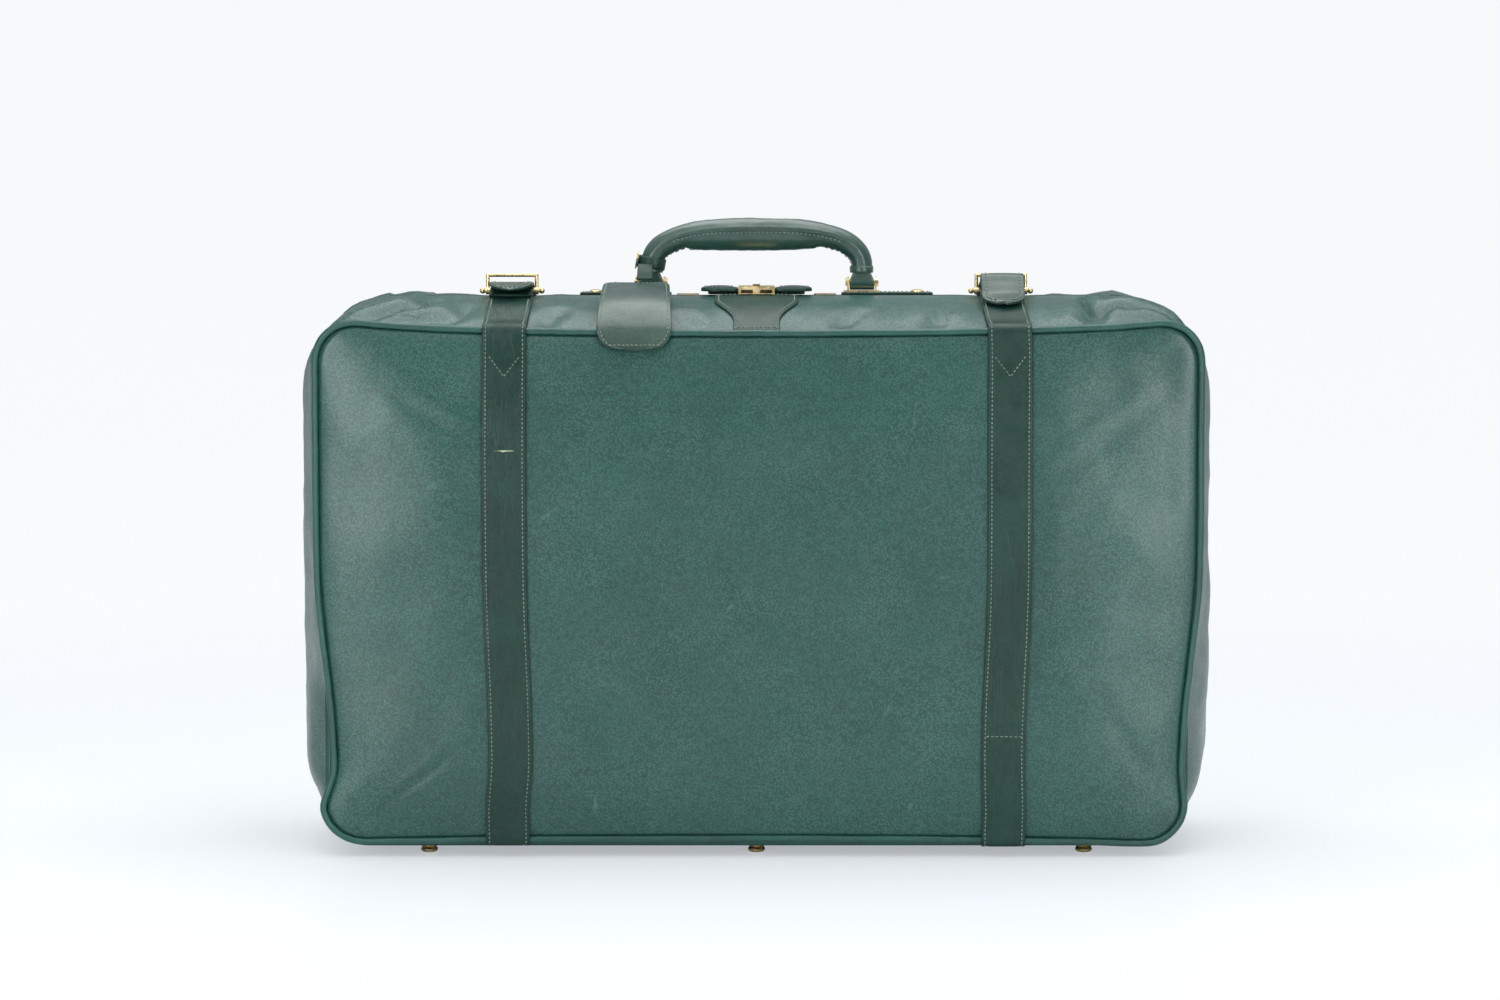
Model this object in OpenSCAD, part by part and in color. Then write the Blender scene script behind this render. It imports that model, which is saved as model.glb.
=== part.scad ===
// Soft-sided leather travel case with two straps, a carrying handle and a luggage tag.
// Millimetres. X is the width, -Y the front, Z up, with the feet standing on z = 0.

/* [Case] */
// Width of the front and rear panels
panel_w = 650; // [560:1:720]
// Height of the front and rear panels
panel_h = 388; // [320:1:430]
// Depth of the case between the two panel rims
case_d = 190; // [160:1:230]
// Corner radius of the panels
panel_r = 30; // [22:1:40]
// Thickness of the panel and gusset leather
leather_t = 2.4; // [1.8:0.1:3]
// How far a panel crowns in the middle
crown_d = 7; // [3:0.5:9]
// How far the gusset swells past the piping at the sides
side_swell = 24; // [12:1:30]
// How much wider the gusset's corners round than the panels'
corner_swell = 45; // [12:1:55]
// How far the gusset swells past the piping at the top
top_swell = 24; // [16:1:30]
// How far the gusset sags past the piping at the bottom
bottom_sag = 1.5; // [0.5:0.5:2]
// Height of the gusset's underside above the floor
foot_h = 8; // [7.5:0.5:12]

/* [Piping and frame] */
// Radius of the piping cord
cord_r = 2.6; // [2:0.1:3]
// Thickness of the piping's sewn flange
flange_t = 1.4; // [1:0.1:2]
// Depth of the sewn flange
flange_w = 6; // [4:0.5:8]
// Width of the rim frame
frame_w = 8; // [5:0.5:10]
// Thickness of the rim frame
frame_t = 5; // [3:0.5:6]
// Thickness of the panel board
board_t = 2; // [1.5:0.5:3]
// Thickness of the lining
lining_t = 0.8; // [0.6:0.1:1.2]

/* [Zip] */
// Width of each half of the zip opening
zip_gap = 4.6; // [4.4:0.1:6]
// Width of each tape
tape_w = 16; // [12:1:20]
// Thickness of the tape
tape_t = 0.8; // [0.5:0.1:1]
// Width of each row of teeth
teeth_w = 2.8; // [2.2:0.1:3]
// Height of the teeth above the tape
teeth_t = 1.9; // [1.5:0.1:2.2]
// Length of a slider
slider_l = 11; // [9:0.5:14]
// Length of a pull
pull_l = 14; // [10:1:20]
// Distance of each slider from the middle of the case
slider_x = 42; // [40:1:60]

/* [Straps] */
// Width of the straps
strap_w = 33; // [28:1:38]
// Thickness of the straps
strap_t = 2.5; // [2:0.1:3]
// Distance of each strap from the middle of the case
strap_x = 188; // [150:1:215]
// Distance of the buckle bars in front of the zip
buckle_y = 10; // [8:1:14]
// Radius of the buckle bar
bar_r = 1.5; // [1.2:0.1:2]
// Height of the buckle frame above its bar
buckle_h = 12; // [11:0.5:16]
// Radius of the buckle frame's wire
wire_r = 1.4; // [1:0.1:1.8]
// Length of the strap tip in front of the buckle
tip_l = 33; // [20:1:36]

/* [Handle] */
// Distance of the handle's pivot behind the zip
handle_y = 24; // [22:1:30]
// Half the distance between the handle's legs
handle_x = 82; // [70:1:95]
// Height of the handle's arch above its pivot
handle_rise = 40; // [30:0.5:50]
// Radius of the grip in the middle
grip_r = 8.8; // [7.5:0.1:10]
// Radius of the grip at its legs
leg_r = 7.2; // [6:0.1:8]
// Depth of the pad under the grip
belly_d = 6; // [3:0.5:9]
// Radius of the handle's pivot pins
pin_r = 2; // [1.6:0.1:2.4]
// Length of the handle's eye along its pin
eye_l = 19; // [16:0.5:22]
// Half the width of the handle's leather bases
base_half_w = 10.5; // [9:0.5:10.5]
// Length of the handle's leather bases
base_l = 71; // [60:1:80]
// Radius of the studs on the handle's bases
stud_r = 5; // [4:0.5:6]
// Thickness of the handle's steel core
core_t = 2; // [1.6:0.1:2.4]
// Width of the handle's steel core
core_w = 8; // [6:0.5:9]

/* [Lock and tag] */
// Length of the leather saddle over the zip
saddle_l = 86; // [74:1:100]
// Width of the leather saddle
saddle_w = 27; // [24:1:30]
// Thickness of the leather saddle
saddle_t = 2; // [1.6:0.1:2.4]
// Length of the lock case
lock_l = 28; // [24:1:34]
// Width of the lock case
lock_w = 20; // [16:1:22]
// Thickness of the keystone patch
patch_t = 1.6; // [1.2:0.1:2]
// Width of the keystone patch at the lock
patch_w = 62; // [54:1:72]
// Width of the keystone patch at the piping
patch_foot_w = 38; // [32:1:46]
// Width of the luggage tag
tag_w = 56; // [48:1:62]
// Distance of the tag's middle from the middle of the case
tag_x = 92; // [88:1:100]
// Thickness of each leather layer of the tag
tag_t = 1.9; // [1.4:0.1:2]
// Height of the tag's lower end above the floor
tag_low = 386; // [370:1:391]

/* [Feet] */
// Distance of the outer feet from the middle of the case
foot_x = 250; // [225:1:290]
// Distance of the feet from the zip line
foot_y = 70; // [55:1:75]
// Radius of a foot
foot_r = 6.5; // [5:0.5:8]

/* [Hidden] */

$fn = 48;
gap = 0.3;
seam_gap = 0.1;
run_gap = 0.05;
corner_steps = 9;
welt_step = 0.5;
half_d = case_d / 2;
panel_z0 = foot_h + bottom_sag + welt_step;
panel_z1 = panel_z0 + panel_h;
panel_zc = panel_z0 + panel_h / 2;
gusset_y = half_d - leather_t - flange_t - 2 * seam_gap;
lining_end = tape_w + 2;
gusset_ys = [gusset_y, gusset_y - 3, gusset_y - 9, gusset_y - 20, gusset_y - 38, gusset_y - 62,
    lining_end, zip_gap];
cord_off = cord_r + 0.2;
cord_y = half_d - leather_t / 2 - 0.4;
frame_y = gusset_y - frame_t - seam_gap;
frame_in = leather_t + gap + frame_w;
board_y = frame_y - board_t - seam_gap;
lining_y = board_y - lining_t - gap;
lining_in = leather_t + gap;
tape_y = tape_w;
tape_clear = 0.55;
hinge_half = side_out(tape_y) - corner_r(tape_y) - 2;
hinge_t = 1.2;
tape_top = top_out(tape_y) - leather_t - tape_clear;
tape_side = side_out(tape_y) - leather_t - tape_clear;
tape_r = corner_r(tape_y) - leather_t;
teeth_z = tape_top + teeth_t + seam_gap;
eye_r = bar_r + 0.1 + 2;
buckle_z = top_out(buckle_y) + gap + eye_r;
strap_pass_z = buckle_z + eye_r + 0.4;
tip_y = buckle_y + 4.3;
slider_top = teeth_z + 2.5;
pull_z = teeth_z + 1.7;
lock_rise = 2;
saddle_z = slider_top + gap + lock_rise;
lock_z0 = top_out(zip_gap) + gap;
lock_z1 = saddle_z + saddle_t + 1.9;
patch_y = saddle_w / 2 + gap;
base_top = top_out(handle_y) + 2.8;
base_x0 = handle_x - 16;
stud_x = base_x0 + base_l - 12;
plate_t = 1.2;
handle_eye_r = 6.3;
neck_half = 6.1;
pivot_z = base_top + seam_gap + plate_t + gap + handle_eye_r;
ear_t = 1.5;
ear_in = eye_l / 2 + 0.4;
neck_top = pivot_z + 7.7;
arch_z = neck_top + 0.2;
arch_h = pivot_z + handle_rise - arch_z;
arch_n = 2.8;
loop_z = arch_z + 2.5;
loop_h = 9;
loop_t = 2;
loop_r = grip_r + 0.1;
loop_x0 = arch_x(loop_z);
loop_x1 = arch_x(loop_z + loop_h);
tag_in = 0.5;
foot_top = bottom_out(foot_y - foot_r - 1) - seam_gap;
leather = "#3f5f55";
hide = "#4b766c";
metal = "#cdb06a";

// How much of its full swell the gusset has at a distance y from the zip line
function swell(y) = pow(sin(90 * max(0, gusset_y - abs(y)) / gusset_y), 0.8);
function side_out(y) = panel_w / 2 + welt_step + side_swell * swell(y);
function top_out(y) = panel_z1 + welt_step + top_swell * swell(y);
function bottom_out(y) = panel_z0 - welt_step - bottom_sag * swell(y);
function corner_r(y) = panel_r + corner_swell * swell(y);

// How much of its full crown a panel has at a point of its face
function crown(x, z) = max(0, 1 - pow(abs(x) / (panel_w / 2), 4))
    * max(0, 1 - pow(abs(z - panel_zc) / (panel_h / 2), 4));

// Points of a rounded rectangle in the XZ plane, counter-clockwise from the upper right
function outline(a, z0, z1, r) = [
    for (c = [[1, 1, 0], [-1, 1, 90], [-1, -1, 180], [1, -1, 270]])
        for (i = [0:corner_steps])
            let (t = c[2] + 90 * i / corner_steps)
                [c[0] * (a - r) + r * cos(t), (c[1] > 0 ? z1 - r : z0 + r) + r * sin(t)]
];

function gusset_ring(y, inset) = [
    for (p = outline(side_out(y) - inset, bottom_out(y) + inset, top_out(y) - inset, corner_r(y) - inset))
        [p[0], -y, p[1]]
];

// Triangles between rings of equal length; closed joins the last ring to the first
function ring_faces(m, n, closed) = [
    for (i = [0:m - (closed ? 1 : 2)])
        for (j = [0:n - 1])
            let (a = i * n + j, b = i * n + (j + 1) % n, c = ((i + 1) % m) * n + j,
                d = ((i + 1) % m) * n + (j + 1) % n)
                each [[a, b, d], [a, d, c]]
];

module closed_rings(rings) {
    polyhedron([for (r = rings) each r], ring_faces(len(rings), len(rings[0]), true));
}

module capped_rings(rings, first, last) {
    n = len(rings[0]);
    m = len(rings);
    polyhedron(concat([for (r = rings) each r], [first, last]), concat(ring_faces(m, n, false),
        [for (j = [0:n - 1]) [(j + 1) % n, j, m * n]],
        [for (j = [0:n - 1]) [(m - 1) * n + j, (m - 1) * n + (j + 1) % n, m * n + 1]]));
}

// Solid between two crowned faces at the depths y0, outer, and y1, inner
module crowned_plate(inset, y0, c0, y1, c1) {
    shares = [0.06, 0.3, 0.55, 0.78, 0.93, 1];
    a = panel_w / 2 - inset;
    h = panel_h / 2 - inset;
    r = max(8, panel_r - inset);
    face = outline(a, -h, h, r);
    function face_ring(s, y, c) = [
        for (p = face) [p[0] * s, -(y + c * crown(p[0] * s, panel_zc + p[1] * s)), panel_zc + p[1] * s]
    ];
    capped_rings(concat([for (s = shares) face_ring(s, y0, c0)],
        [for (i = [len(shares) - 1:-1:0]) face_ring(shares[i], y1, c1)]),
        [0, -(y0 + c0), panel_zc], [0, -(y1 + c1), panel_zc]);
}

// Flat rounded plate in the XZ plane, from y0 to y1 in front of the zip line
module rounded_plate(a, z0, z1, r, y0, y1) {
    translate([0, -y0, 0])
        rotate([90, 0, 0])
            linear_extrude(y1 - y0)
                rounded_2d(a, z0, z1, r);
}

module rounded_2d(a, z0, z1, r) {
    translate([-a, z0 + r])
        square([2 * a, z1 - z0 - 2 * r]);
    translate([-a + r, z0])
        square([2 * (a - r), z1 - z0]);
    for (x = [-a + r, a - r], z = [z0 + r, z1 - r])
        translate([x, z])
            circle(r);
}

// Flat rounded ring in the XZ plane, w wide, from y0 to y1 in front of the zip line
module rounded_ring(a, z0, z1, r, w, y0, y1) {
    translate([0, -y0, 0])
        rotate([90, 0, 0])
            linear_extrude(y1 - y0)
                difference() {
                    rounded_2d(a, z0, z1, r);
                    rounded_2d(a - w, z0 + w, z1 - w, max(2, r - w));
                }
}

// Outward normal of a polyline of [y, z] points at its point i
function normal_at(p, i) =
    let (a = p[max(0, i - 1)], b = p[min(len(p) - 1, i + 1)], d = b - a)
        [-d[1], d[0]] / norm(d);

// Polygon of a band that lies over a polyline, from inner to outer above it
function band(p, inner, outer) = concat(
    [for (i = [0:len(p) - 1]) p[i] + inner * normal_at(p, i)],
    [for (i = [len(p) - 1:-1:0]) p[i] + outer * normal_at(p, i)]);

// Extrudes a polygon of [y, z] points along X, w wide about the middle x
module along_x(x, w) {
    translate([x - w / 2, 0, 0])
        rotate([90, 0, 90])
            linear_extrude(w)
                children();
}

module gusset() {
    color(hide)
        closed_rings(concat([for (y = gusset_ys) gusset_ring(y, leather_t)],
            [for (i = [len(gusset_ys) - 1:-1:0]) gusset_ring(gusset_ys[i], 0)]));
}

module panel() {
    color(hide)
        crowned_plate(0, half_d, crown_d, half_d - leather_t, crown_d);
}

module padding() {
    color("#d8d2c0")
        crowned_plate(frame_in + gap, half_d - leather_t - 0.2, crown_d, frame_y, 0);
}

module piping() {
    x = panel_w / 2 - panel_r;
    z = panel_h / 2 - panel_r;
    bend = panel_r + cord_off;
    color(leather) {
        for (s = [-1, 1]) {
            translate([-x, -cord_y, panel_zc + s * (z + bend)])
                rotate([0, 90, 0])
                    cylinder(r = cord_r, h = 2 * x);
            translate([s * (x + bend), -cord_y, panel_zc - z])
                cylinder(r = cord_r, h = 2 * z);
        }
        for (c = [[1, 1, 0], [-1, 1, 90], [-1, -1, 180], [1, -1, 270]])
            translate([c[0] * x, -cord_y, panel_zc + c[1] * z])
                rotate([90, 0, 0])
                    rotate([0, 0, c[2]])
                        rotate_extrude(angle = 90)
                            translate([bend, 0])
                                circle(cord_r);
        rounded_ring(panel_w / 2 + cord_off - 1, panel_z0 - cord_off + 1, panel_z1 + cord_off - 1,
            panel_r + cord_off - 1, flange_w + cord_off - 1, gusset_y + seam_gap,
            gusset_y + seam_gap + flange_t);
    }
}

module rim_frame() {
    color("#9a9a94")
        rounded_ring(panel_w / 2 + welt_step - leather_t - gap, panel_z0 - welt_step + leather_t + gap,
            panel_z1 + welt_step - leather_t - gap, panel_r - leather_t, frame_w, frame_y,
            gusset_y - seam_gap);
}

module board() {
    color("#8a7456")
        rounded_plate(panel_w / 2 - leather_t - 1, panel_z0 + leather_t + 1, panel_z1 - leather_t - 1,
            panel_r - leather_t - 1, board_y, board_y + board_t);
}

module lining() {
    ys = [gusset_y - 20, gusset_y - 38, gusset_y - 62, lining_end];
    y0 = lining_y;
    floor_in = lining_in + lining_t;
    outer = concat([gusset_ring(y0, lining_in)], [for (y = ys) gusset_ring(y, lining_in)]);
    inner = concat([for (i = [len(ys) - 1:-1:0]) gusset_ring(ys[i], floor_in)],
        [gusset_ring(y0 - lining_t, floor_in)]);
    color("#b9a888")
        capped_rings(concat([for (i = [len(inner) - 1:-1:0]) inner[i]],
            [for (i = [len(outer) - 1:-1:0]) outer[i]]),
            [0, -(y0 - lining_t), panel_zc], [0, -y0, panel_zc]);
}

module zip_region() {
    intersection() {
        children();
        translate([-panel_w, -half_d, panel_z0 + panel_r + 14])
            cube([2 * panel_w, 2 * half_d, 2 * panel_h]);
    }
}

module zip_tape() {
    color("#2f3f3a")
        zip_region()
            rounded_ring(tape_side, panel_z0 + leather_t, tape_top, tape_r, tape_t, 0.2, tape_y);
}

module zip_teeth() {
    color(metal)
        zip_region()
            rounded_ring(tape_side + seam_gap + teeth_t, panel_z0, teeth_z, tape_r + seam_gap + teeth_t,
                teeth_t, 0.2, 0.2 + teeth_w);
}

module hinge_strip() {
    color(leather)
        translate([-hinge_half, 0.4 - lining_end, foot_h + leather_t + gap])
            cube([2 * hinge_half, lining_end - 0.6, hinge_t]);
}

// Line under a strap, from the bottom of the case over the front to the end y
function strap_line(end_y) = concat(
    [for (y = [0.2, 30, 60, 82]) [-y, bottom_out(y)]],
    [for (t = [290:-18:182]) [-cord_y + cord_r * cos(t), panel_z0 - cord_off + cord_r * sin(t)]],
    [for (i = [0:12]) let (z = panel_z0 + 9 + (panel_h - 18) * i / 12)
        [-(half_d + crown_d * crown(strap_x, z)), z]],
    [for (t = [179:-25:104]) [-cord_y + cord_r * cos(t), panel_z1 + cord_off + cord_r * sin(t)]],
    [for (y = [80, 70, 60, 48, 36, 26]) [-y, top_out(y)]],
    [[-end_y, top_out(end_y)]]);

module front_strap(x) {
    color(leather)
        difference() {
            union() {
                along_x(x, strap_w)
                    polygon(band(strap_line(buckle_y), gap, gap + strap_t));
                translate([x - strap_w / 2, -buckle_y, buckle_z])
                    rotate([0, 90, 0])
                        cylinder(r = eye_r, h = strap_w);
            }
            translate([x - strap_w, -buckle_y, buckle_z])
                rotate([0, 90, 0])
                    cylinder(r = bar_r + 0.1, h = 2 * strap_w);
        }
}

module rear_strap(x) {
    rise = strap_pass_z - gap;
    line = concat(strap_line(18), [[-9, rise - 3.6], [-2, rise - 0.9], [4, rise - 0.1], [tip_y, rise]]);
    color(leather)
        mirror([0, 1, 0])
            along_x(x, strap_w)
                polygon(band(line, gap, gap + strap_t));
}

// Plan of a strap's tip: square at the buckle and round at its end
module tip_plan(x) {
    r = strap_w / 2;
    translate([x, -tip_y - seam_gap - tip_l + 8, strap_pass_z - 40])
        linear_extrude(60)
            union() {
                translate([0, r - 8])
                    circle(r);
                translate([-r, r - 8])
                    square([2 * r, tip_l + 8 - r]);
            }
}

module strap_tip(x, droop) {
    y = tip_y + seam_gap;
    s = tip_l / 28;
    straight = [[-y - 34 * s, strap_pass_z - 1.2], [-y - 16 * s, strap_pass_z - 0.2], [-y, strap_pass_z]];
    bent = [[-y - 34 * s, strap_pass_z - 9.9], [-y - 26 * s, strap_pass_z - 8.2],
        [-y - 18 * s, strap_pass_z - 5.9], [-y - 11 * s, strap_pass_z - 2.9],
        [-y - 5 * s, strap_pass_z - 0.5], [-y, strap_pass_z]];
    color(leather)
        intersection() {
            along_x(x, strap_w)
                polygon(band(droop ? bent : straight, 0, strap_t));
            tip_plan(x);
        }
}

module buckle_bar(x) {
    l = strap_w / 2 + 4.6;
    color(metal)
        translate([x, -buckle_y, buckle_z])
            rotate([0, 90, 0]) {
                cylinder(r = bar_r, h = 2 * l + 2, center = true);
                for (s = [-1, 1])
                    translate([0, 0, s * (l + 1.6)])
                        sphere(r = bar_r + 0.8);
            }
}

module buckle_frame(x) {
    a = strap_w / 2 + 2.3;
    color(metal)
        translate([x, -buckle_y, buckle_z])
            difference() {
                union() {
                    for (s = [-1, 1]) {
                        translate([s * a, 0, 0])
                            cylinder(r = wire_r, h = buckle_h);
                        translate([s * a, 0, buckle_h])
                            sphere(r = wire_r);
                        translate([s * a, 0, 0])
                            rotate([0, 90, 0])
                                cylinder(r = bar_r + 1.4, h = 3, center = true);
                    }
                    translate([-a, 0, buckle_h])
                        rotate([0, 90, 0])
                            cylinder(r = wire_r, h = 2 * a);
                }
                rotate([0, 90, 0])
                    cylinder(r = bar_r + run_gap, h = 4 * a, center = true);
            }
}

module feet() {
    color(metal)
        for (x = [-foot_x, 0, foot_x])
            translate([x, -foot_y, 0])
                rotate_extrude()
                    polygon(concat([[0, 0], [foot_r - 2.5, 0]],
                        [for (t = [-60:20:0]) [foot_r - 2.5 + 2.5 * cos(t), 2.6 + 2.6 * sin(t)]],
                        [[foot_r - 1, 4.2], [foot_r + 1, foot_h - 1.4], [foot_r + 1, foot_top],
                        [0, foot_top]]));
}

// Slider on the zip, its pull's ears towards the outside
module zip_slider(s) {
    color(metal)
        translate([s * slider_x, 0, 0])
            difference() {
                union() {
                    translate([-slider_l / 2, -4, teeth_z + 0.15])
                        cube([slider_l, 8, 1.2]);
                    translate([-slider_l / 2, 3.4, tape_top + gap + 0.4])
                        cube([slider_l, 0.8, teeth_t + 0.8]);
                    for (y = [-1, 1])
                        translate([s * (slider_l / 2 - 2), y * 2.2, pull_z])
                            rotate([90, 0, 0])
                                cylinder(r = 1.3, h = 1, center = true);
                }
                translate([s * (slider_l / 2 - 2), 0, pull_z])
                    rotate([90, 0, 0])
                        cylinder(r = 0.6 + run_gap, h = 20, center = true);
            }
}

module zip_pull(s) {
    x0 = s * (slider_x + slider_l / 2 - 2);
    color(metal)
        translate([x0, 0, pull_z])
            union() {
                rotate([90, 0, 0])
                    cylinder(r = 0.6, h = 5.2, center = true);
                translate([s * (pull_l / 2 + 1.8), 0, 0.75])
                    cube([pull_l, 5, 0.9], center = true);
                translate([s * 2.4, 0, 0.75])
                    cube([4.8, 2.6, 0.9], center = true);
            }
}

module lock_saddle() {
    color(leather)
        difference() {
            union() {
                translate([0, 0, saddle_z])
                    linear_extrude(saddle_t)
                        rounded_2d(saddle_l / 2, -saddle_w / 2, saddle_w / 2, 9);
                translate([-20, 6.2, top_out(6.2) + gap])
                    cube([40, saddle_w / 2 - 6.2, saddle_z + 1 - top_out(6.2) - gap]);
            }
            translate([-lock_l / 2 - 0.15, -lock_w / 2 - 0.15, saddle_z - 5])
                cube([lock_l + 0.3, lock_w + 0.3, 20]);
            translate([-5.4, -saddle_w, saddle_z - 5])
                cube([10.8, saddle_w, 20]);
        }
}

module lock_case() {
    h = lock_z1 - lock_z0;
    color(metal)
        difference() {
            translate([0, 0, lock_z0])
                linear_extrude(h)
                    rounded_2d(lock_l / 2, -lock_w / 2, lock_w / 2, 2);
            translate([-5, -lock_w, lock_z0 + 1.2])
                cube([10, lock_w + 5, h - 2.2]);
            translate([-3, -4.4, lock_z0 + 1.2])
                cube([6, 10.4, h]);
        }
}

// Thumb piece with its bolt, drawn back at rest
module lock_slide() {
    h = lock_z1 - lock_z0;
    color(metal)
        union() {
            translate([-4.8, -lock_w / 2 + 0.3, lock_z0 + 1.3])
                cube([9.6, lock_w / 2 + 3.7, h - 2.4]);
            translate([-2.8, 1, lock_z0 + 2])
                cube([5.6, 4.8, h - 0.8]);
        }
}

module lock_catch() {
    y = saddle_w / 2 + 0.5;
    z0 = top_out(y) + gap + patch_t + seam_gap;
    color(metal)
        difference() {
            union() {
                translate([-lock_l / 2, -y - 1.2, z0])
                    cube([lock_l, 1.2, lock_z1 - z0]);
                translate([-lock_l / 2, -y - 7, z0])
                    cube([lock_l, 6.5, 0.9]);
                for (z = [z0 + 0.3, lock_z1 - 1.3])
                    translate([-lock_l / 2, -y - 1.7, z])
                        cube([lock_l, 0.6, 1]);
            }
            translate([-5.4, -y - 0.9, lock_z0 + 0.9])
                cube([10.8, 3, lock_z1 - lock_z0 - 1.6]);
        }
}

module lock_patch() {
    end_y = gusset_y - 3;
    line = [for (i = [9:-1:0]) let (y = patch_y + (end_y - patch_y) * i / 9) [-y, top_out(y)]];
    neck_y = patch_y + 0.08 * (end_y - patch_y);
    foot_y0 = patch_y + 0.68 * (end_y - patch_y);
    mid = (patch_w + patch_foot_w) / 4;
    swing = (patch_w - patch_foot_w) / 4;
    side = [for (i = [0:8]) [mid + swing * cos(180 * i / 8), -neck_y - (foot_y0 - neck_y) * i / 8]];
    color(leather)
        intersection() {
            along_x(0, 1.5 * patch_w)
                polygon(band(line, gap, gap + patch_t));
            linear_extrude(2 * panel_h)
                polygon(concat([[-patch_w / 2, -patch_y + 1], [patch_w / 2, -patch_y + 1]], side,
                    [[patch_foot_w / 2, -gusset_y], [-patch_foot_w / 2, -gusset_y]],
                    [for (i = [8:-1:0]) [-side[i][0], side[i][1]]]));
        }
}

module handle_base(s) {
    y0 = handle_y - base_half_w;
    y1 = handle_y + base_half_w;
    bottom = [for (i = [0:6]) let (y = y1 + (y0 - y1) * i / 6) [y, top_out(y) + gap]];
    x = s * (base_x0 + base_l / 2);
    color(leather)
        intersection() {
            along_x(x, base_l)
                polygon(concat(bottom, [[y0, base_top], [y1, base_top]]));
            translate([x, handle_y, 0])
                linear_extrude(2 * panel_h)
                    rounded_2d(base_l / 2, -base_half_w, base_half_w, 5);
        }
}

module handle_bracket(s) {
    color(metal)
        translate([s * handle_x, handle_y, 0])
            difference() {
                union() {
                    translate([-14, -7.5, base_top + seam_gap])
                        cube([28, 15, plate_t]);
                    for (k = [-1, 1])
                        translate([k * (ear_in + ear_t / 2), 0, pivot_z])
                            rotate([0, 90, 0])
                                cylinder(r = 4.2, h = ear_t, center = true);
                    for (k = [-1, 1])
                        translate([k * (ear_in + ear_t / 2) - ear_t / 2, -4.2, base_top + seam_gap])
                            cube([ear_t, 8.4, pivot_z - base_top - seam_gap]);
                }
                translate([0, 0, pivot_z])
                    rotate([0, 90, 0])
                        cylinder(r = pin_r + run_gap, h = 60, center = true);
            }
}

module handle_pin(s) {
    l = ear_in + ear_t + 0.2;
    color(metal)
        translate([s * handle_x, handle_y, pivot_z])
            rotate([0, 90, 0]) {
                cylinder(r = pin_r, h = 2 * l, center = true);
                for (k = [0, 1])
                    mirror([0, 0, k])
                        translate([0, 0, l])
                            cylinder(r = 3.2, h = 1.2);
            }
}

module base_studs() {
    color(metal)
        for (s = [-1, 1])
            translate([s * stud_x, handle_y, base_top + seam_gap])
                rotate_extrude()
                    polygon(concat([[0, 0], [stud_r, 0]],
                        [for (t = [0:15:90]) stud_r * [cos(t), 0.1 + 0.34 * sin(t)]]));
}

module handle_end(s) {
    color(leather)
        translate([s * handle_x, handle_y, pivot_z])
            difference() {
                union() {
                    rotate([0, 90, 0])
                        cylinder(r = handle_eye_r, h = eye_l, center = true);
                    translate([-7, -neck_half, 0])
                        cube([14, 2 * neck_half, neck_top - pivot_z]);
                }
                rotate([0, 90, 0])
                    cylinder(r = pin_r + run_gap, h = 2 * eye_l, center = true);
            }
}

// Middle line of the arch in the XZ plane at the angle t, and its direction
function arch(t) = [
    handle_x * sign(cos(t)) * pow(abs(cos(t)), 2 / arch_n), arch_z + arch_h * pow(abs(sin(t)), 2 / arch_n)
];
function arch_x(z) = handle_x * pow(1 - pow((z - arch_z) / arch_h, arch_n), 1 / arch_n);
function arch_normal(t) =
    let (d = t <= 0 ? [0, 1] : t >= 180 ? [0, -1] : arch(min(180, t + 1)) - arch(max(0, t - 1)))
        [d[1], -d[0]] / norm(d);
arch_steps = [0, 3, 9, 16, 24, 33, 43, 54, 66, 78, 90, 102, 114, 126, 137, 147, 156, 164, 171, 177, 180];
grip_sides = 12;

module grip_sweep() {
    rings = [
        for (t = arch_steps)
            let (p = arch(t), n = arch_normal(t), r = leg_r + (grip_r - leg_r) * sqrt(abs(sin(t))),
                b = r + belly_d * pow(max(0, 1 - pow(p[0] / 58, 2)), 0.6))
                [for (k = [0:grip_sides - 1])
                    let (w = 360 * k / grip_sides, u = (sin(w) > 0 ? r : b) * sin(w))
                        [p[0] + n[0] * u, handle_y + r * cos(w), p[1] + n[1] * u]]
    ];
    capped_rings(rings, [arch(0)[0], handle_y, arch(0)[1]], [arch(180)[0], handle_y, arch(180)[1]]);
}

module core_strip(half_t, half_w) {
    steps = [for (t = arch_steps) if (t > 12 && t < 168) t];
    translate([0, handle_y + half_w, 0])
        rotate([90, 0, 0])
            linear_extrude(2 * half_w)
                polygon(concat([for (t = steps) arch(t) + half_t * arch_normal(t)],
                    [for (i = [len(steps) - 1:-1:0]) arch(steps[i]) - half_t * arch_normal(steps[i])]));
}

module handle_grip() {
    color(leather)
        difference() {
            grip_sweep();
            core_strip(core_t / 2 + 0.2, core_w / 2 + 0.2);
        }
}

module handle_core() {
    color("#8d9094")
        core_strip(core_t / 2, core_w / 2);
}

// Places the tag's strap loop round the handle's left leg, whose lean it follows
module on_left_leg() {
    translate([-(loop_x0 + loop_x1) / 2 - 0.25, handle_y, loop_z + loop_h / 2])
        rotate([0, atan((loop_x0 - loop_x1) / loop_h), 0])
            children();
}

module tag_strap_loop() {
    color(leather)
        on_left_leg()
            difference() {
                cylinder(r = loop_r + loop_t, h = loop_h, center = true);
                cylinder(r = loop_r, h = loop_h + 2, center = true);
            }
}

module tag_buckle() {
    color(metal)
        on_left_leg()
            translate([-loop_r - loop_t - seam_gap, 0, 0])
                rotate([0, -90, 0])
                    linear_extrude(1.2)
                        difference() {
                            rounded_2d(6.5, -6, 6, 1.5);
                            rounded_2d(4.9, -4.4, 4.4, 0.6);
                        }
}

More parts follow.
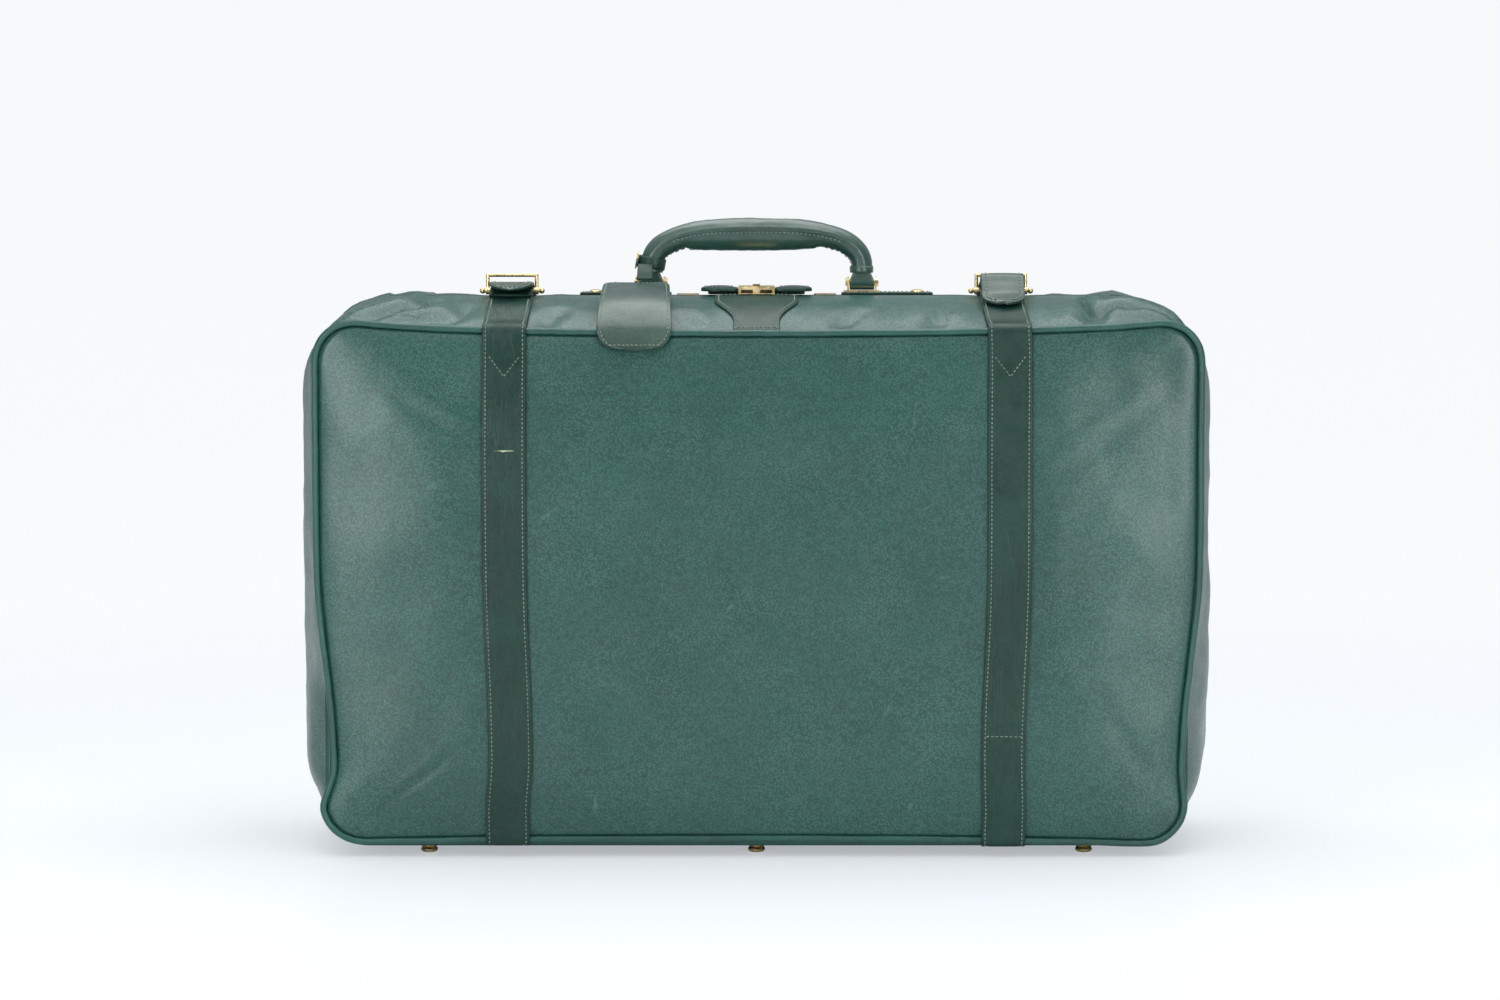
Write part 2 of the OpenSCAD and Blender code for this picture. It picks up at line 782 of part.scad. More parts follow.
module tag_tongue() {
    y0 = handle_y - loop_r - loop_t - gap;
    line = [[-19.5, tag_path[len(tag_path) - 1][1] + 1.2], [-8, loop_z - 11], [4, loop_z - 4.5],
        [y0, loop_z + 2]];
    color(leather)
        along_x(-handle_x - 4, 12)
            polygon(band(line, 0, 2));
}

// Line under the tag, from its lower end up over the piping to its top
tag_path = concat([[-half_d - 3.2, tag_low], [-half_d - 2.9, panel_z1 - 4],
    [-half_d - 1.9, panel_z1 + 2.5], [-cord_y - 0.4, panel_z1 + cord_off + cord_r + 0.6]],
    [for (p = [[gusset_y - 3, 3.7], [76, 0.7], [62, 0.5], [44, 1.2], [32, 4], [21.5, 9]])
        [-p[0], top_out(p[0]) + p[1]]]);

module tag_layer(inner, outer) {
    top = tag_path[len(tag_path) - 1][1] + 6;
    a = tag_w / 2 - tag_in;
    intersection() {
        along_x(-tag_x, tag_w)
            polygon(band(tag_path, inner, outer));
        translate([-tag_x, 0, 0])
            rotate([90, 0, 0])
                linear_extrude(2 * half_d)
                    union() {
                        translate([-a, tag_low + 16])
                            square([2 * a, top - tag_low - 26]);
                        translate([-a + 6, top - 12])
                            square([2 * a - 12, 12]);
                        for (s = [-1, 1]) {
                            translate([s * (a - 16), tag_low + 16])
                                circle(16);
                            translate([s * (a - 10), top - 10])
                                circle(10);
                        }
                        translate([-a + 16, tag_low])
                            square([2 * a - 32, 20]);
                    }
    }
}

module rear() {
    mirror([0, 1, 0])
        children();
}

rear() panel();  // rear_panel
rear() gusset();  // rear_gusset
rear() piping();  // rear_piping
rear() padding();  // rear_padding
rear() board();  // rear_board
rear() rim_frame();  // rear_frame
rear() lining();  // rear_lining
rear() zip_tape();  // rear_zip_tape
rear() zip_teeth();  // rear_zip_teeth
rear() hinge_strip();  // rear_hinge_strip
rear_strap(-strap_x);  // rear_strap_left
rear_strap(strap_x);  // rear_strap_right
rear() feet();  // rear_feet
panel();  // front_panel
gusset();  // front_gusset
piping();  // front_piping
padding();  // front_padding
board();  // front_board
rim_frame();  // front_frame
lining();  // front_lining
zip_tape();  // front_zip_tape
zip_teeth();  // front_zip_teeth
hinge_strip();  // front_hinge_strip
front_strap(-strap_x);  // front_strap_left
front_strap(strap_x);  // front_strap_right
feet();  // front_feet
buckle_bar(-strap_x);  // buckle_bar_left
buckle_bar(strap_x);  // buckle_bar_right
buckle_frame(-strap_x);  // buckle_frame_left
buckle_frame(strap_x);  // buckle_frame_right
strap_tip(-strap_x, false);  // strap_tip_left
strap_tip(strap_x, true);  // strap_tip_right
zip_slider(-1);  // zip_slider_left
zip_slider(1);  // zip_slider_right
zip_pull(-1);  // zip_pull_left
zip_pull(1);  // zip_pull_right
lock_saddle();
lock_case();
lock_slide();
lock_catch();
lock_patch();
handle_base(-1);  // handle_base_left
handle_base(1);  // handle_base_right
handle_bracket(-1);  // handle_bracket_left
handle_bracket(1);  // handle_bracket_right
handle_pin(-1);  // handle_pin_left
handle_pin(1);  // handle_pin_right
base_studs();
handle_end(-1);  // handle_end_left
handle_end(1);  // handle_end_right
handle_grip();
handle_core();
tag_strap_loop();
tag_tongue();
color(leather) tag_layer(gap, gap + tag_t - 0.2);  // tag_back
color("#e6dfcc") tag_layer(gap + tag_t - 0.15, gap + tag_t + 0.15);  // tag_card
color(leather) tag_layer(gap + tag_t + 0.2, gap + 2 * tag_t);  // tag_front
tag_buckle();
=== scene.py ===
"""Looks of a soft-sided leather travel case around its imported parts, laid out as an add-on."""

from functools import cache
from math import asin, atan2, copysign, cos, exp, hypot, pi, radians, sin

import bmesh
import bpy
from bpy.props import FloatProperty, FloatVectorProperty, IntProperty, PointerProperty
from mathutils import Matrix, Vector, noise


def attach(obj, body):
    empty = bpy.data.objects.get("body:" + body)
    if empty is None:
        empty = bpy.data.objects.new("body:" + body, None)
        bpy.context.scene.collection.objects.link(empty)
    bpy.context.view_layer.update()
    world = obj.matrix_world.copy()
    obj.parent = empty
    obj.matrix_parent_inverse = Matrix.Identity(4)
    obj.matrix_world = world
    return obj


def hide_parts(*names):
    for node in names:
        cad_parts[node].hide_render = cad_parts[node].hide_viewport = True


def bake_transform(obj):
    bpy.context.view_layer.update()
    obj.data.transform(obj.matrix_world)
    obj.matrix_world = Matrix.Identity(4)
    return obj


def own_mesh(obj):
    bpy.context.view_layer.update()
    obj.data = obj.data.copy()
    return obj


bl_info = {
    "name": "Leather travel case",
    "version": (1, 0, 0),
    "blender": (4, 5, 0),
    "location": "3D View > Sidebar > Travel case",
    "description": "Dresses the packed frame of a soft-sided leather travel case",
    "category": "Object",
}

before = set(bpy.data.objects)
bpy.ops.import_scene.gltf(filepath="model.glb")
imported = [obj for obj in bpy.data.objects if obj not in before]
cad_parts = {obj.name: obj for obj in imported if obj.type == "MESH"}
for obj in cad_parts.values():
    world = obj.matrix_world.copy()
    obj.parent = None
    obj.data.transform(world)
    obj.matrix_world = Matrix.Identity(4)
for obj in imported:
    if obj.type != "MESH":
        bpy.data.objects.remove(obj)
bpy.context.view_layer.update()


# Sizes and colours

class CaseShape(bpy.types.PropertyGroup):
    """Sizes of the soft leather, which a user may change"""
    puff: FloatProperty(name="Puff", description="How far the free leather wanders from its plain form",
                        default=0.0026, min=0, max=0.006, unit="LENGTH")
    fold: FloatProperty(name="Fold depth", description="Depth of the folds in the gusset's corners",
                        default=0.0092, min=0, max=0.01, unit="LENGTH")
    flare: FloatProperty(name="Corner flare", description="How far the panels' corners stand out past their edges",
                         default=0.0060, min=0, max=0.009, unit="LENGTH")
    pitch: FloatProperty(name="Stitch pitch", description="Distance from one stitch to the next",
                         default=0.0033, min=0.002, max=0.008, unit="LENGTH")
    thread: FloatProperty(name="Thread radius", description="Radius of the sewing thread",
                          default=0.00048, min=0.0003, max=0.0009, unit="LENGTH")
    tooth: FloatProperty(name="Tooth pitch", description="Distance from one zip tooth to the next",
                         default=0.0032, min=0.002, max=0.005, unit="LENGTH")
    seed: IntProperty(name="Seed", description="Seed of the leather's folds", default=7, min=0, max=99)


class CaseColours(bpy.types.PropertyGroup):
    """Colours of the finishes, which a user may change"""
    hide: FloatVectorProperty(name="Hide", description="Colour of the pebbled leather", subtype="COLOR",
                              default=(0.0100, 0.0715, 0.0590), min=0, max=1)
    hide_pale: FloatVectorProperty(name="Pale hide", description="Colour of the hide where it is rubbed",
                                   subtype="COLOR", default=(0.068, 0.152, 0.132), min=0, max=1)
    trim: FloatVectorProperty(name="Trim", description="Colour of the smooth straps and handle", subtype="COLOR",
                              default=(0.006, 0.034, 0.025), min=0, max=1)
    edge: FloatVectorProperty(name="Cut edge", description="Colour of rubbed edges of the trim", subtype="COLOR",
                              default=(0.072, 0.118, 0.098), min=0, max=1)
    thread: FloatVectorProperty(name="Thread", description="Colour of the sewing thread", subtype="COLOR",
                                default=(0.145, 0.205, 0.155), min=0, max=1)
    brass: FloatVectorProperty(name="Brass", description="Colour of the fittings", subtype="COLOR",
                               default=(0.760, 0.610, 0.330), min=0, max=1)
    lining: FloatVectorProperty(name="Lining", description="Colour of the cotton lining", subtype="COLOR",
                                default=(0.420, 0.340, 0.210), min=0, max=1)


class CaseStage(bpy.types.PropertyGroup):
    """Camera and light, which a user may change"""
    distance: FloatProperty(name="Distance", description="Camera's distance from the front panel",
                            default=3.22, min=1, max=9, unit="LENGTH")
    rise: FloatProperty(name="Rise", description="Camera's height above the floor", default=0.557, min=0, max=3,
                        unit="LENGTH")
    pitch: FloatProperty(name="Pitch", description="How far the camera looks down", default=radians(5.06),
                         subtype="ANGLE")
    lens: FloatProperty(name="Lens", description="Focal length in millimetres", default=103, min=20, max=300)
    key: FloatProperty(name="Key light", description="Power of the main soft light", default=14.5, min=0, max=400,
                       unit="POWER")
    sides: FloatProperty(name="Side lights", description="Power of each side light as a share of the key light",
                         default=2.0, min=0, max=5)
    fill: FloatProperty(name="Fill", description="Strength of the even light around the case", default=0.62,
                        min=0, max=2)


# The case's plain form, in metres

PANEL_W, PANEL_H, HALF_D = 0.650, 0.388, 0.095
PANEL_R, LEATHER, CROWN = 0.030, 0.0024, 0.0118
SIDE_SWELL, TOP_SWELL, CORNER_SWELL, SAG = 0.024, 0.024, 0.045, 0.0015
PANEL_Z0 = 0.010
PANEL_Z1, PANEL_ZC = PANEL_Z0 + PANEL_H, PANEL_Z0 + PANEL_H / 2
WELT, GUSSET_Y = 0.0005, 0.0910
CORD_R, CORD_OFF, CORD_Y = 0.0026, 0.0028, 0.0934
TAPE_W, TAPE_CLEAR = 0.016, 0.00055
STRAP_W, STRAP_T, STRAP_X = 0.033, 0.0025, 0.188
BUCKLE_Y, EYE_R, TIP_Y = 0.010, 0.0036, 0.0144
HANDLE_X, HANDLE_Y, HANDLE_RISE, ARCH_N = 0.082, 0.024, 0.040, 2.8
GRIP_R, LEG_R, BELLY = 0.0096, 0.0076, 0.0062
BASE_X0, BASE_L, BASE_HALF = 0.066, 0.071, 0.0105
SADDLE_T, SADDLE_L, SADDLE_W = 0.002, 0.086, 0.027
LOCK_L = 0.028
PATCH_Y, PATCH_W, PATCH_FOOT_W, PATCH_T = 0.0138, 0.064, 0.035, 0.0016
TAG_X, TAG_W, TAG_T, TAG_LOW = 0.092, 0.058, 0.0019, 0.386
LOOP_H, LOOP_R = 0.009, 0.0089
GAP = 0.0003

# How far a side of the rim leans outwards at its top, near its foot and at its foot
LEAN_RIGHT, LEAN_LEFT = (0.0068, -0.0057, -0.0030), (0.0045, -0.0078, 0.0015)
# Heights over and under which the gusset is the case's top or its bottom
TOP_ZONE, FOOT_ZONE = 0.35, 0.05
# Distance of a strap's stitches from its middle line
STRAP_SEAM = STRAP_W / 2 - 0.0026
# Leather as drawn, a little thinner than its solid
HIDE_T = LEATHER - 0.0002
# Depth of the line pressed beside a strap's edges, and share of a stitch's pitch that shows as thread
PRESS, STITCH_SHARE = 0.00022, 0.62
ACROSS = Vector((1, 0, 0))
UP = Vector((0, 0, 1))


def swell(y):
    """Share of the gusset's full swell at a depth: 0 at the piping and 1 at the zip."""
    return sin(pi / 2 * max(0.0, GUSSET_Y - abs(y)) / GUSSET_Y) ** 0.8


def side_out(y):
    """The gusset's outside x at a depth, on its right side."""
    return PANEL_W / 2 + WELT + SIDE_SWELL * swell(y)


def top_out(y):
    """The gusset's upper height at a depth."""
    return PANEL_Z1 + WELT + TOP_SWELL * swell(y)


def bottom_out(y):
    """The gusset's lower height at a depth."""
    return PANEL_Z0 - WELT - SAG * swell(y)


def corner_r(y):
    """Radius of the gusset's corners at a depth."""
    return PANEL_R + CORNER_SWELL * swell(y)


def crown(x, z):
    """Share of a panel's full crown at a point: flat over its board and falling to its rim."""
    u, v = abs(x) / (PANEL_W / 2), abs(z - PANEL_ZC) / (PANEL_H / 2)
    return max(0.0, 1 - max(0.0, (u - 0.60) / 0.40) ** 1.8) * max(0.0, 1 - max(0.0, (v - 0.55) / 0.45) ** 2)


TAPE_TOP = top_out(TAPE_W) - LEATHER - TAPE_CLEAR
TEETH_Z = TAPE_TOP + 0.002
BUCKLE_Z = top_out(BUCKLE_Y) + GAP + EYE_R
PASS_Z = BUCKLE_Z + EYE_R + 0.0004
SADDLE_Z = TEETH_Z + 0.0025 + GAP + 0.002
BASE_TOP = top_out(HANDLE_Y) + 0.0028
PIVOT_Z = BASE_TOP + 0.0016 + 0.0063
NECK_TOP = PIVOT_Z + 0.0077
ARCH_Z = NECK_TOP + 0.0002
ARCH_H = PIVOT_Z + HANDLE_RISE - ARCH_Z
LOOP_Z = ARCH_Z + 0.0025
TAG_TOP = top_out(0.0215) + 0.009


def smoothstep(a, b, v):
    """0 before a, 1 past b and a soft step between them. a may be larger than b."""
    t = min(1.0, max(0.0, (v - a) / (b - a)))
    return t * t * (3 - 2 * t)


def lump(x, y, z, size, seed=0.0):
    """Fixed soft noise of about -1 to 1 whose lumps have a given size."""
    return noise.noise(Vector((x / size + seed, y / size - 2.3 * seed, z / size + 1.7 * seed)))


def flared(p):
    """Moves a point of a sewn rim and its panel to the rim's real, uneven form: corners that stand up, a raised
    middle below, and sides that lean in towards the foot and kick out again at the corner."""
    x, y, z = p
    w, f = smoothstep(0.050, 0.092, abs(y)), bpy.context.scene.case_shape.flare
    u, v = x / (PANEL_W / 2), (z - PANEL_ZC) / (PANEL_H / 2)
    a = min(1.1, abs(u))
    if v > 0:
        dz = f * v * (a ** 2 + 0.9 * a ** 8 - 0.55)
    else:
        dz = f * -v * (0.65 * (1 - a ** 2.5) + (0.30 if x > 0 else 0.60) * a * a + 0.45 * (1 - a * a))
    top, low, foot = LEAN_RIGHT if x > 0 else LEAN_LEFT
    dx = low + (top - low) * smoothstep(-0.72, 0.15, v) + (foot - low) * smoothstep(-0.70, -0.90, v)
    return Vector((x + w * copysign(a * a, x) * dx, y, z + w * dz))


def outline(a, z0, z1, r, corner=14, side=46, top=84):
    """Points of a rounded rectangle, counter-clockwise from the right side's foot, with their normals."""
    pts = []

    def edge(p, q, n, m):
        for i in range(m):
            t = i / m
            pts.append((p[0] + (q[0] - p[0]) * t, p[1] + (q[1] - p[1]) * t, n[0], n[1]))

    def arc(cx, cz, start):
        for i in range(corner):
            t = start + pi / 2 * i / corner
            pts.append((cx + r * cos(t), cz + r * sin(t), cos(t), sin(t)))

    edge((a, z0 + r), (a, z1 - r), (1, 0), side)
    arc(a - r, z1 - r, 0)
    edge((a - r, z1), (-a + r, z1), (0, 1), top)
    arc(-a + r, z1 - r, pi / 2)
    edge((-a, z1 - r), (-a, z0 + r), (-1, 0), side)
    arc(-a + r, z0 + r, pi)
    edge((-a + r, z0), (a - r, z0), (0, -1), top)
    arc(a - r, z0 + r, 3 * pi / 2)
    return pts


# Mesh helpers

def make(name, verts, faces, finish, body=None, stands_for=(), slot=None, smooth=True):
    """Adds one piece to the scene, made of points and faces, and says what it moves with and stands for."""
    mesh = bpy.data.meshes.new(name)
    mesh.from_pydata([tuple(v) for v in verts], [], faces)
    mesh.validate()
    mesh.polygons.foreach_set("use_smooth", [smooth] * len(mesh.polygons))
    mesh.materials.append(finish)
    mesh.update()
    piece = bpy.data.objects.new(name, mesh)
    bpy.context.scene.collection.objects.link(piece)
    if body:
        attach(piece, body)
    if stands_for:
        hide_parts(*stands_for)
    return piece


def lattice(rows, cols, start=0, close_rows=False, close_cols=True, flip=False):
    """Faces between the rows of a lattice of points."""
    faces = []
    for i in range(rows if close_rows else rows - 1):
        for j in range(cols if close_cols else cols - 1):
            a, b = start + i * cols + j, start + i * cols + (j + 1) % cols
            c, d = start + (i + 1) % rows * cols + j, start + (i + 1) % rows * cols + (j + 1) % cols
            faces.append((a, c, d, b) if flip else (a, b, d, c))
    return faces


def resample(path, step, closed=False):
    """Points an even step apart along a polyline of vectors."""
    pts = [Vector(p) for p in path]
    if closed:
        pts.append(pts[0])
    out = [pts[0]]
    lengths = [(b - a).length for a, b in zip(pts, pts[1:])]
    count = max(2, round(sum(lengths) / step))
    step = sum(lengths) / count
    at, i = 0.0, 0
    for k in range(1, count + (0 if closed else 1)):
        want = k * step
        while i < len(lengths) - 1 and at + lengths[i] < want:
            at += lengths[i]
            i += 1
        t = min(1.0, (want - at) / max(1e-9, lengths[i]))
        out.append(pts[i].lerp(pts[i + 1], t))
    return out


def rounded(path, times=2):
    """Cuts the corners of an open polyline, its ends kept."""
    pts = [Vector(p) for p in path]
    for _ in range(times):
        new = [pts[0]]
        for a, b in zip(pts, pts[1:]):
            new += [a.lerp(b, 0.25), a.lerp(b, 0.75)]
        pts = new + [pts[-1]]
    return pts


def sweep(path, section, closed=False):
    """Points and faces of a section carried along a path, with closed ends.

    section(i, t) gives the vectors round point i, which lies at the share t of the path.
    """
    rings = [section(i, i / max(1, len(path) - 1)) for i in range(len(path))]
    cols = len(rings[0])
    verts = [v for r in rings for v in r]
    faces = lattice(len(rings), cols, close_rows=closed)
    if not closed:
        first, last, end = len(verts), len(verts) + 1, (len(rings) - 1) * cols
        verts += [sum(rings[0], Vector()) / cols, sum(rings[-1], Vector()) / cols]
        faces += [((j + 1) % cols, j, first) for j in range(cols)]
        faces += [(end + j, end + (j + 1) % cols, last) for j in range(cols)]
    return verts, faces


def stacked(rows):
    """Points and faces of rows of points that are joined to each other, the first and last row filled."""
    n, last = len(rows[0]), (len(rows) - 1) * len(rows[0])
    faces = lattice(len(rows), n) + [tuple(reversed(range(n))), tuple(range(last, last + n))]
    return [v for r in rows for v in r], faces


def join(verts, faces, more):
    """Adds another mesh's points and faces to a mesh."""
    faces += [tuple(i + len(verts) for i in face) for face in more[1]]
    verts += more[0]


def face_outwards(piece):
    """Turns a closed mesh's faces so that they point outwards."""
    work = bmesh.new()
    work.from_mesh(piece.data)
    bmesh.ops.recalc_face_normals(work, faces=work.faces)
    work.to_mesh(piece.data)
    work.free()


def tangent(path, i, closed=False):
    """Direction of a path at point i."""
    n = len(path)
    if closed:
        return (path[(i + 1) % n] - path[i - 1]).normalized()
    return (path[min(n - 1, i + 1)] - path[max(0, i - 1)]).normalized()


def strap_section(width, thick, edge, n_flat=10):
    """Section of a flat strap with rolled edges: (across, up) pairs about its middle, counter-clockwise."""
    w, t, pts = width / 2, thick / 2, []
    r = min(edge, t * 0.98)
    for cx, cz, start in ((w - r, t - r, 0), (-w + r, t - r, 90), (-w + r, -t + r, 180), (w - r, -t + r, 270)):
        for k in range(4):
            a = radians(start + 30 * k)
            pts.append((cx + r * cos(a), cz + r * sin(a)))
        if start in (0, 180):
            s = 1 if start == 0 else -1
            for k in range(1, n_flat):
                pts.append((s * (w - r) * (1 - 2 * k / n_flat), s * t))
    return pts


def pressed_line(inwards, v, at=0.0038):
    """Depth of the line pressed at a distance from an edge, this far inwards of it, on the face that v is on."""
    return PRESS * exp(-((inwards - at) / 0.0009) ** 2) * copysign(1, v)


def band_mesh(path, width, thick, edge, across, bend=None):
    """A strap along a path of its middle plane, with rolled edges. One that bends has pressed lines as well."""
    base = strap_section(width, thick, edge)

    def section(i, t):
        up = across.cross(tangent(path, i)).normalized()
        ring = []
        for u, v in base:
            lift = v - pressed_line(width / 2 - abs(u), v) if bend else v
            p = path[i] + across * u + up * lift
            ring.append(bend(p, u) if bend else p)
        return ring

    return sweep(path, section)


def stitch_points(path, pitch, closed=False):
    """Middle and direction of each stitch along a path."""
    pts = resample(path, pitch, closed)
    return [(p, tangent(pts, i, closed)) for i, p in enumerate(pts)]


def add_stitches(verts, faces, stitches, up_of, length, radius, sink=0.3):
    """Adds one short spindle of thread per stitch, its ends sunk into the leather."""
    for p, d in stitches:
        up = up_of(p, d)
        side = d.cross(up).normalized()
        up = side.cross(d).normalized()
        start = len(verts)
        for t, r, drop in ((-0.42, 0.75, 0.45), (-0.15, 1, 0), (0.15, 1, 0), (0.42, 0.75, 0.45)):
            for k in range(6):
                a = pi / 3 * k
                verts.append(p + d * (t * length) + side * (radius * r * cos(a))
                             + up * (radius * (r * sin(a) + sink - drop)))
        verts.append(p - d * (0.55 * length) - up * (radius * 0.7))
        verts.append(p + d * (0.55 * length) - up * (radius * 0.7))
        faces += lattice(4, 6, start)
        faces += [(start + (k + 1) % 6, start + k, start + 24) for k in range(6)]
        faces += [(start + 18 + k, start + 18 + (k + 1) % 6, start + 25) for k in range(6)]


def sewn(name, rows, body, up_of):
    """One object with all stitches of a piece. rows are paths on the leather's surface."""
    shape = bpy.context.scene.case_shape
    verts, faces = [], []
    for path, closed in rows:
        stitches = stitch_points(path, shape.pitch, closed)
        add_stitches(verts, faces, stitches, up_of, shape.pitch * STITCH_SHARE, shape.thread)
    return make(name, verts, faces, finish_thread(), body, slot="trim_leather")


def sewn_loop(row_of, indices):
    """A row of points that goes up one side and back down the other. row_of(i, side) gives one point."""
    return [row_of(i, 1) for i in indices] + [row_of(i, -1) for i in reversed(indices)]


# Shared effects, as node groups

class Tree:
    """A node tree while it is being built."""

    def __init__(self, tree):
        self.tree = tree

    def add(self, kind, inputs=None, **props):
        node = self.tree.nodes.new(kind)
        for key, value in props.items():
            setattr(node, key, value)
        self.feed(node, inputs or {})
        return node

    def feed(self, node, inputs):
        """Gives a node its inputs: sockets are linked, other values are set."""
        for key, value in inputs.items():
            if isinstance(value, bpy.types.NodeSocket):
                self.tree.links.new(value, node.inputs[key])
            else:
                node.inputs[key].default_value = value

    def calc(self, operation, a, b=0.5, c=0.5):
        return self.add("ShaderNodeMath", {0: a, 1: b, 2: c}, operation=operation).outputs[0]

    def times(self, a, b):
        return self.calc("MULTIPLY", a, b)

    def times_plus(self, a, b, c):
        return self.calc("MULTIPLY_ADD", a, b, c)

    def vector(self, operation, a, b=(0, 0, 0), scale=1.0):
        node = self.add("ShaderNodeVectorMath", {0: a, 1: b, 3: scale}, operation=operation)
        return node.outputs[1 if operation == "LENGTH" else 0]

    def range(self, value, low, high, to_low=0.0, to_high=1.0):
        """Carries a value from one range over to another by a soft step."""
        return self.add("ShaderNodeMapRange", {0: value, 1: low, 2: high, 3: to_low, 4: to_high},
                        interpolation_type="SMOOTHSTEP").outputs[0]

    def join(self, value, socket):
        self.tree.links.new(value, socket)

    def mix(self, factor, a, b):
        """Mixes two colours, each a socket or three numbers."""
        a, b = (v if isinstance(v, bpy.types.NodeSocket) else (*v, 1.0) for v in (a, b))
        node = self.add("ShaderNodeMix", data_type="RGBA")
        self.feed(node, {0: factor, 6: a, 7: b})
        return node.outputs[2]

    def noise(self, vector, scale, detail=3.0, roughness=0.55, distortion=0.0):
        return self.add("ShaderNodeTexNoise", {"Vector": vector, "Scale": scale, "Detail": detail,
                                               "Roughness": roughness, "Distortion": distortion}).outputs[0]

    def group(self, name, **inputs):
        return self.add("ShaderNodeGroup", inputs, node_tree=bpy.data.node_groups[name]).outputs


def effect(name, inputs, outputs):
    """Starts a shared effect with named sockets and returns its tree, inputs and output node."""
    group = bpy.data.node_groups.new(name, "ShaderNodeTree")
    for key, kind, value in inputs:
        socket = group.interface.new_socket(key, in_out="INPUT", socket_type=f"NodeSocket{kind}")
        if value is not None:
            socket.default_value = value
    for key in outputs:
        group.interface.new_socket(key, in_out="OUTPUT", socket_type="NodeSocketFloat")
    tree = Tree(group)
    return tree, tree.add("NodeGroupInput").outputs, tree.add("NodeGroupOutput").inputs


def effect_pebbles():
    """The pebbled grain of the hide."""
    t, i, o = effect("pebbles", [("Vector", "Vector", None), ("Scale", "Float", 620.0),
                                 ("Wander", "Float", 0.0012)], ["Height", "Valley"])
    wander = t.add("ShaderNodeTexNoise", {"Vector": i["Vector"], "Scale": 160.0, "Detail": 2.0}).outputs[1]
    moved = t.vector("SCALE", t.vector("SUBTRACT", wander, (0.5, 0.5, 0.5)), scale=i["Wander"])
    at = t.vector("ADD", i["Vector"], moved)
    big = t.add("ShaderNodeTexVoronoi", {"Vector": at, "Scale": i["Scale"], "Randomness": 0.9}).outputs[0]
    small = t.add("ShaderNodeTexVoronoi", {"Vector": at, "Scale": t.times(i["Scale"], 2.1)}).outputs[0]
    dome = t.calc("SUBTRACT", 1.0, t.calc("POWER", big, 2.0))
    both = t.times_plus(t.calc("SUBTRACT", 1.0, small), 0.35, t.times(dome, 0.65))
    patch = t.noise(i["Vector"], 22.0, 2.0)
    t.join(t.times(both, t.range(patch, 0.25, 0.7, 0.6, 1.15)), o["Height"])
    t.join(t.range(t.times_plus(small, 0.3, big), 0.40, 0.85), o["Valley"])


def effect_creases():
    """Fine broken lines in bent leather."""
    t, i, o = effect("creases", [("Vector", "Vector", None), ("Scale", "Float", 60.0),
                                 ("Stretch", "Vector", (1, 1, 1)), ("Width", "Float", 0.06)], ["Height", "Line"])
    at = t.vector("MULTIPLY", i["Vector"], i["Stretch"])
    wave = t.noise(at, i["Scale"], 4.0, 0.6, 0.4)
    line = t.range(t.calc("ABSOLUTE", t.calc("SUBTRACT", wave, 0.5)), 0.0, i["Width"], 1.0, 0.0)
    where = t.range(t.noise(i["Vector"], 9.0, 2.0), 0.42, 0.62)
    shown = t.times(line, where)
    t.join(shown, o["Line"])
    t.join(t.calc("SUBTRACT", 1.0, shown), o["Height"])


def effect_patina():
    """Soft clouds of colour and gloss that age leaves."""
    t, i, o = effect("patina", [("Vector", "Vector", None), ("Scale", "Float", 7.0)], ["Cloud", "Speck", "Gloss"])
    cloud = t.noise(i["Vector"], i["Scale"], 5.0, 0.62, 0.3)
    speck = t.noise(i["Vector"], t.times(i["Scale"], 34.0), 4.0, 0.7)
    gloss = t.noise(i["Vector"], t.times(i["Scale"], 2.6), 4.0, 0.5, 0.8)
    t.join(t.range(cloud, 0.30, 0.70), o["Cloud"])
    t.join(t.range(speck, 0.35, 0.72), o["Speck"])
    t.join(t.range(gloss, 0.32, 0.68), o["Gloss"])


def effect_edge_wear():
    """Masks of the rubbed edges and of the hollows. Leather finishes darken their hollows as painted shade, and
    metal finishes darken theirs as tarnish.
    """
    t, i, o = effect("edge_wear", [("Vector", "Vector", None), ("Start", "Float", 0.53), ("Width", "Float", 0.08)],
                     ["Edge", "Hollow"])
    point = t.add("ShaderNodeNewGeometry").outputs["Pointiness"]
    broken = t.range(t.noise(i["Vector"], 70.0, 5.0, 0.65), 0.35, 0.62, 0.25, 1.0)
    edge = t.range(point, i["Start"], t.calc("ADD", i["Start"], i["Width"]))
    t.join(t.times(edge, broken), o["Edge"])
    t.join(t.range(point, 0.42, 0.485, 1.0, 0.0), o["Hollow"])


def effect_rub():
    """One rubbed spot: its place, its turn in the front's plane and its half sizes."""
    t, i, o = effect("rub", [("Vector", "Vector", None), ("Place", "Vector", (0, 0, 0)), ("Turn", "Float", 0.0),
                             ("Size", "Vector", (0.01, 0.01, 0.01))], ["Mask"])
    away = t.vector("SUBTRACT", i["Vector"], i["Place"])
    turned = t.add("ShaderNodeVectorRotate", {"Vector": away, "Angle": i["Turn"]}, rotation_type="Y_AXIS")
    near = t.vector("LENGTH", t.vector("DIVIDE", turned.outputs[0], i["Size"]))
    ragged = t.times_plus(t.noise(i["Vector"], 230.0, 5.0, 0.7), 1.5, near)
    t.join(t.range(ragged, 0.8, 1.5, 1.0, 0.0), o["Mask"])


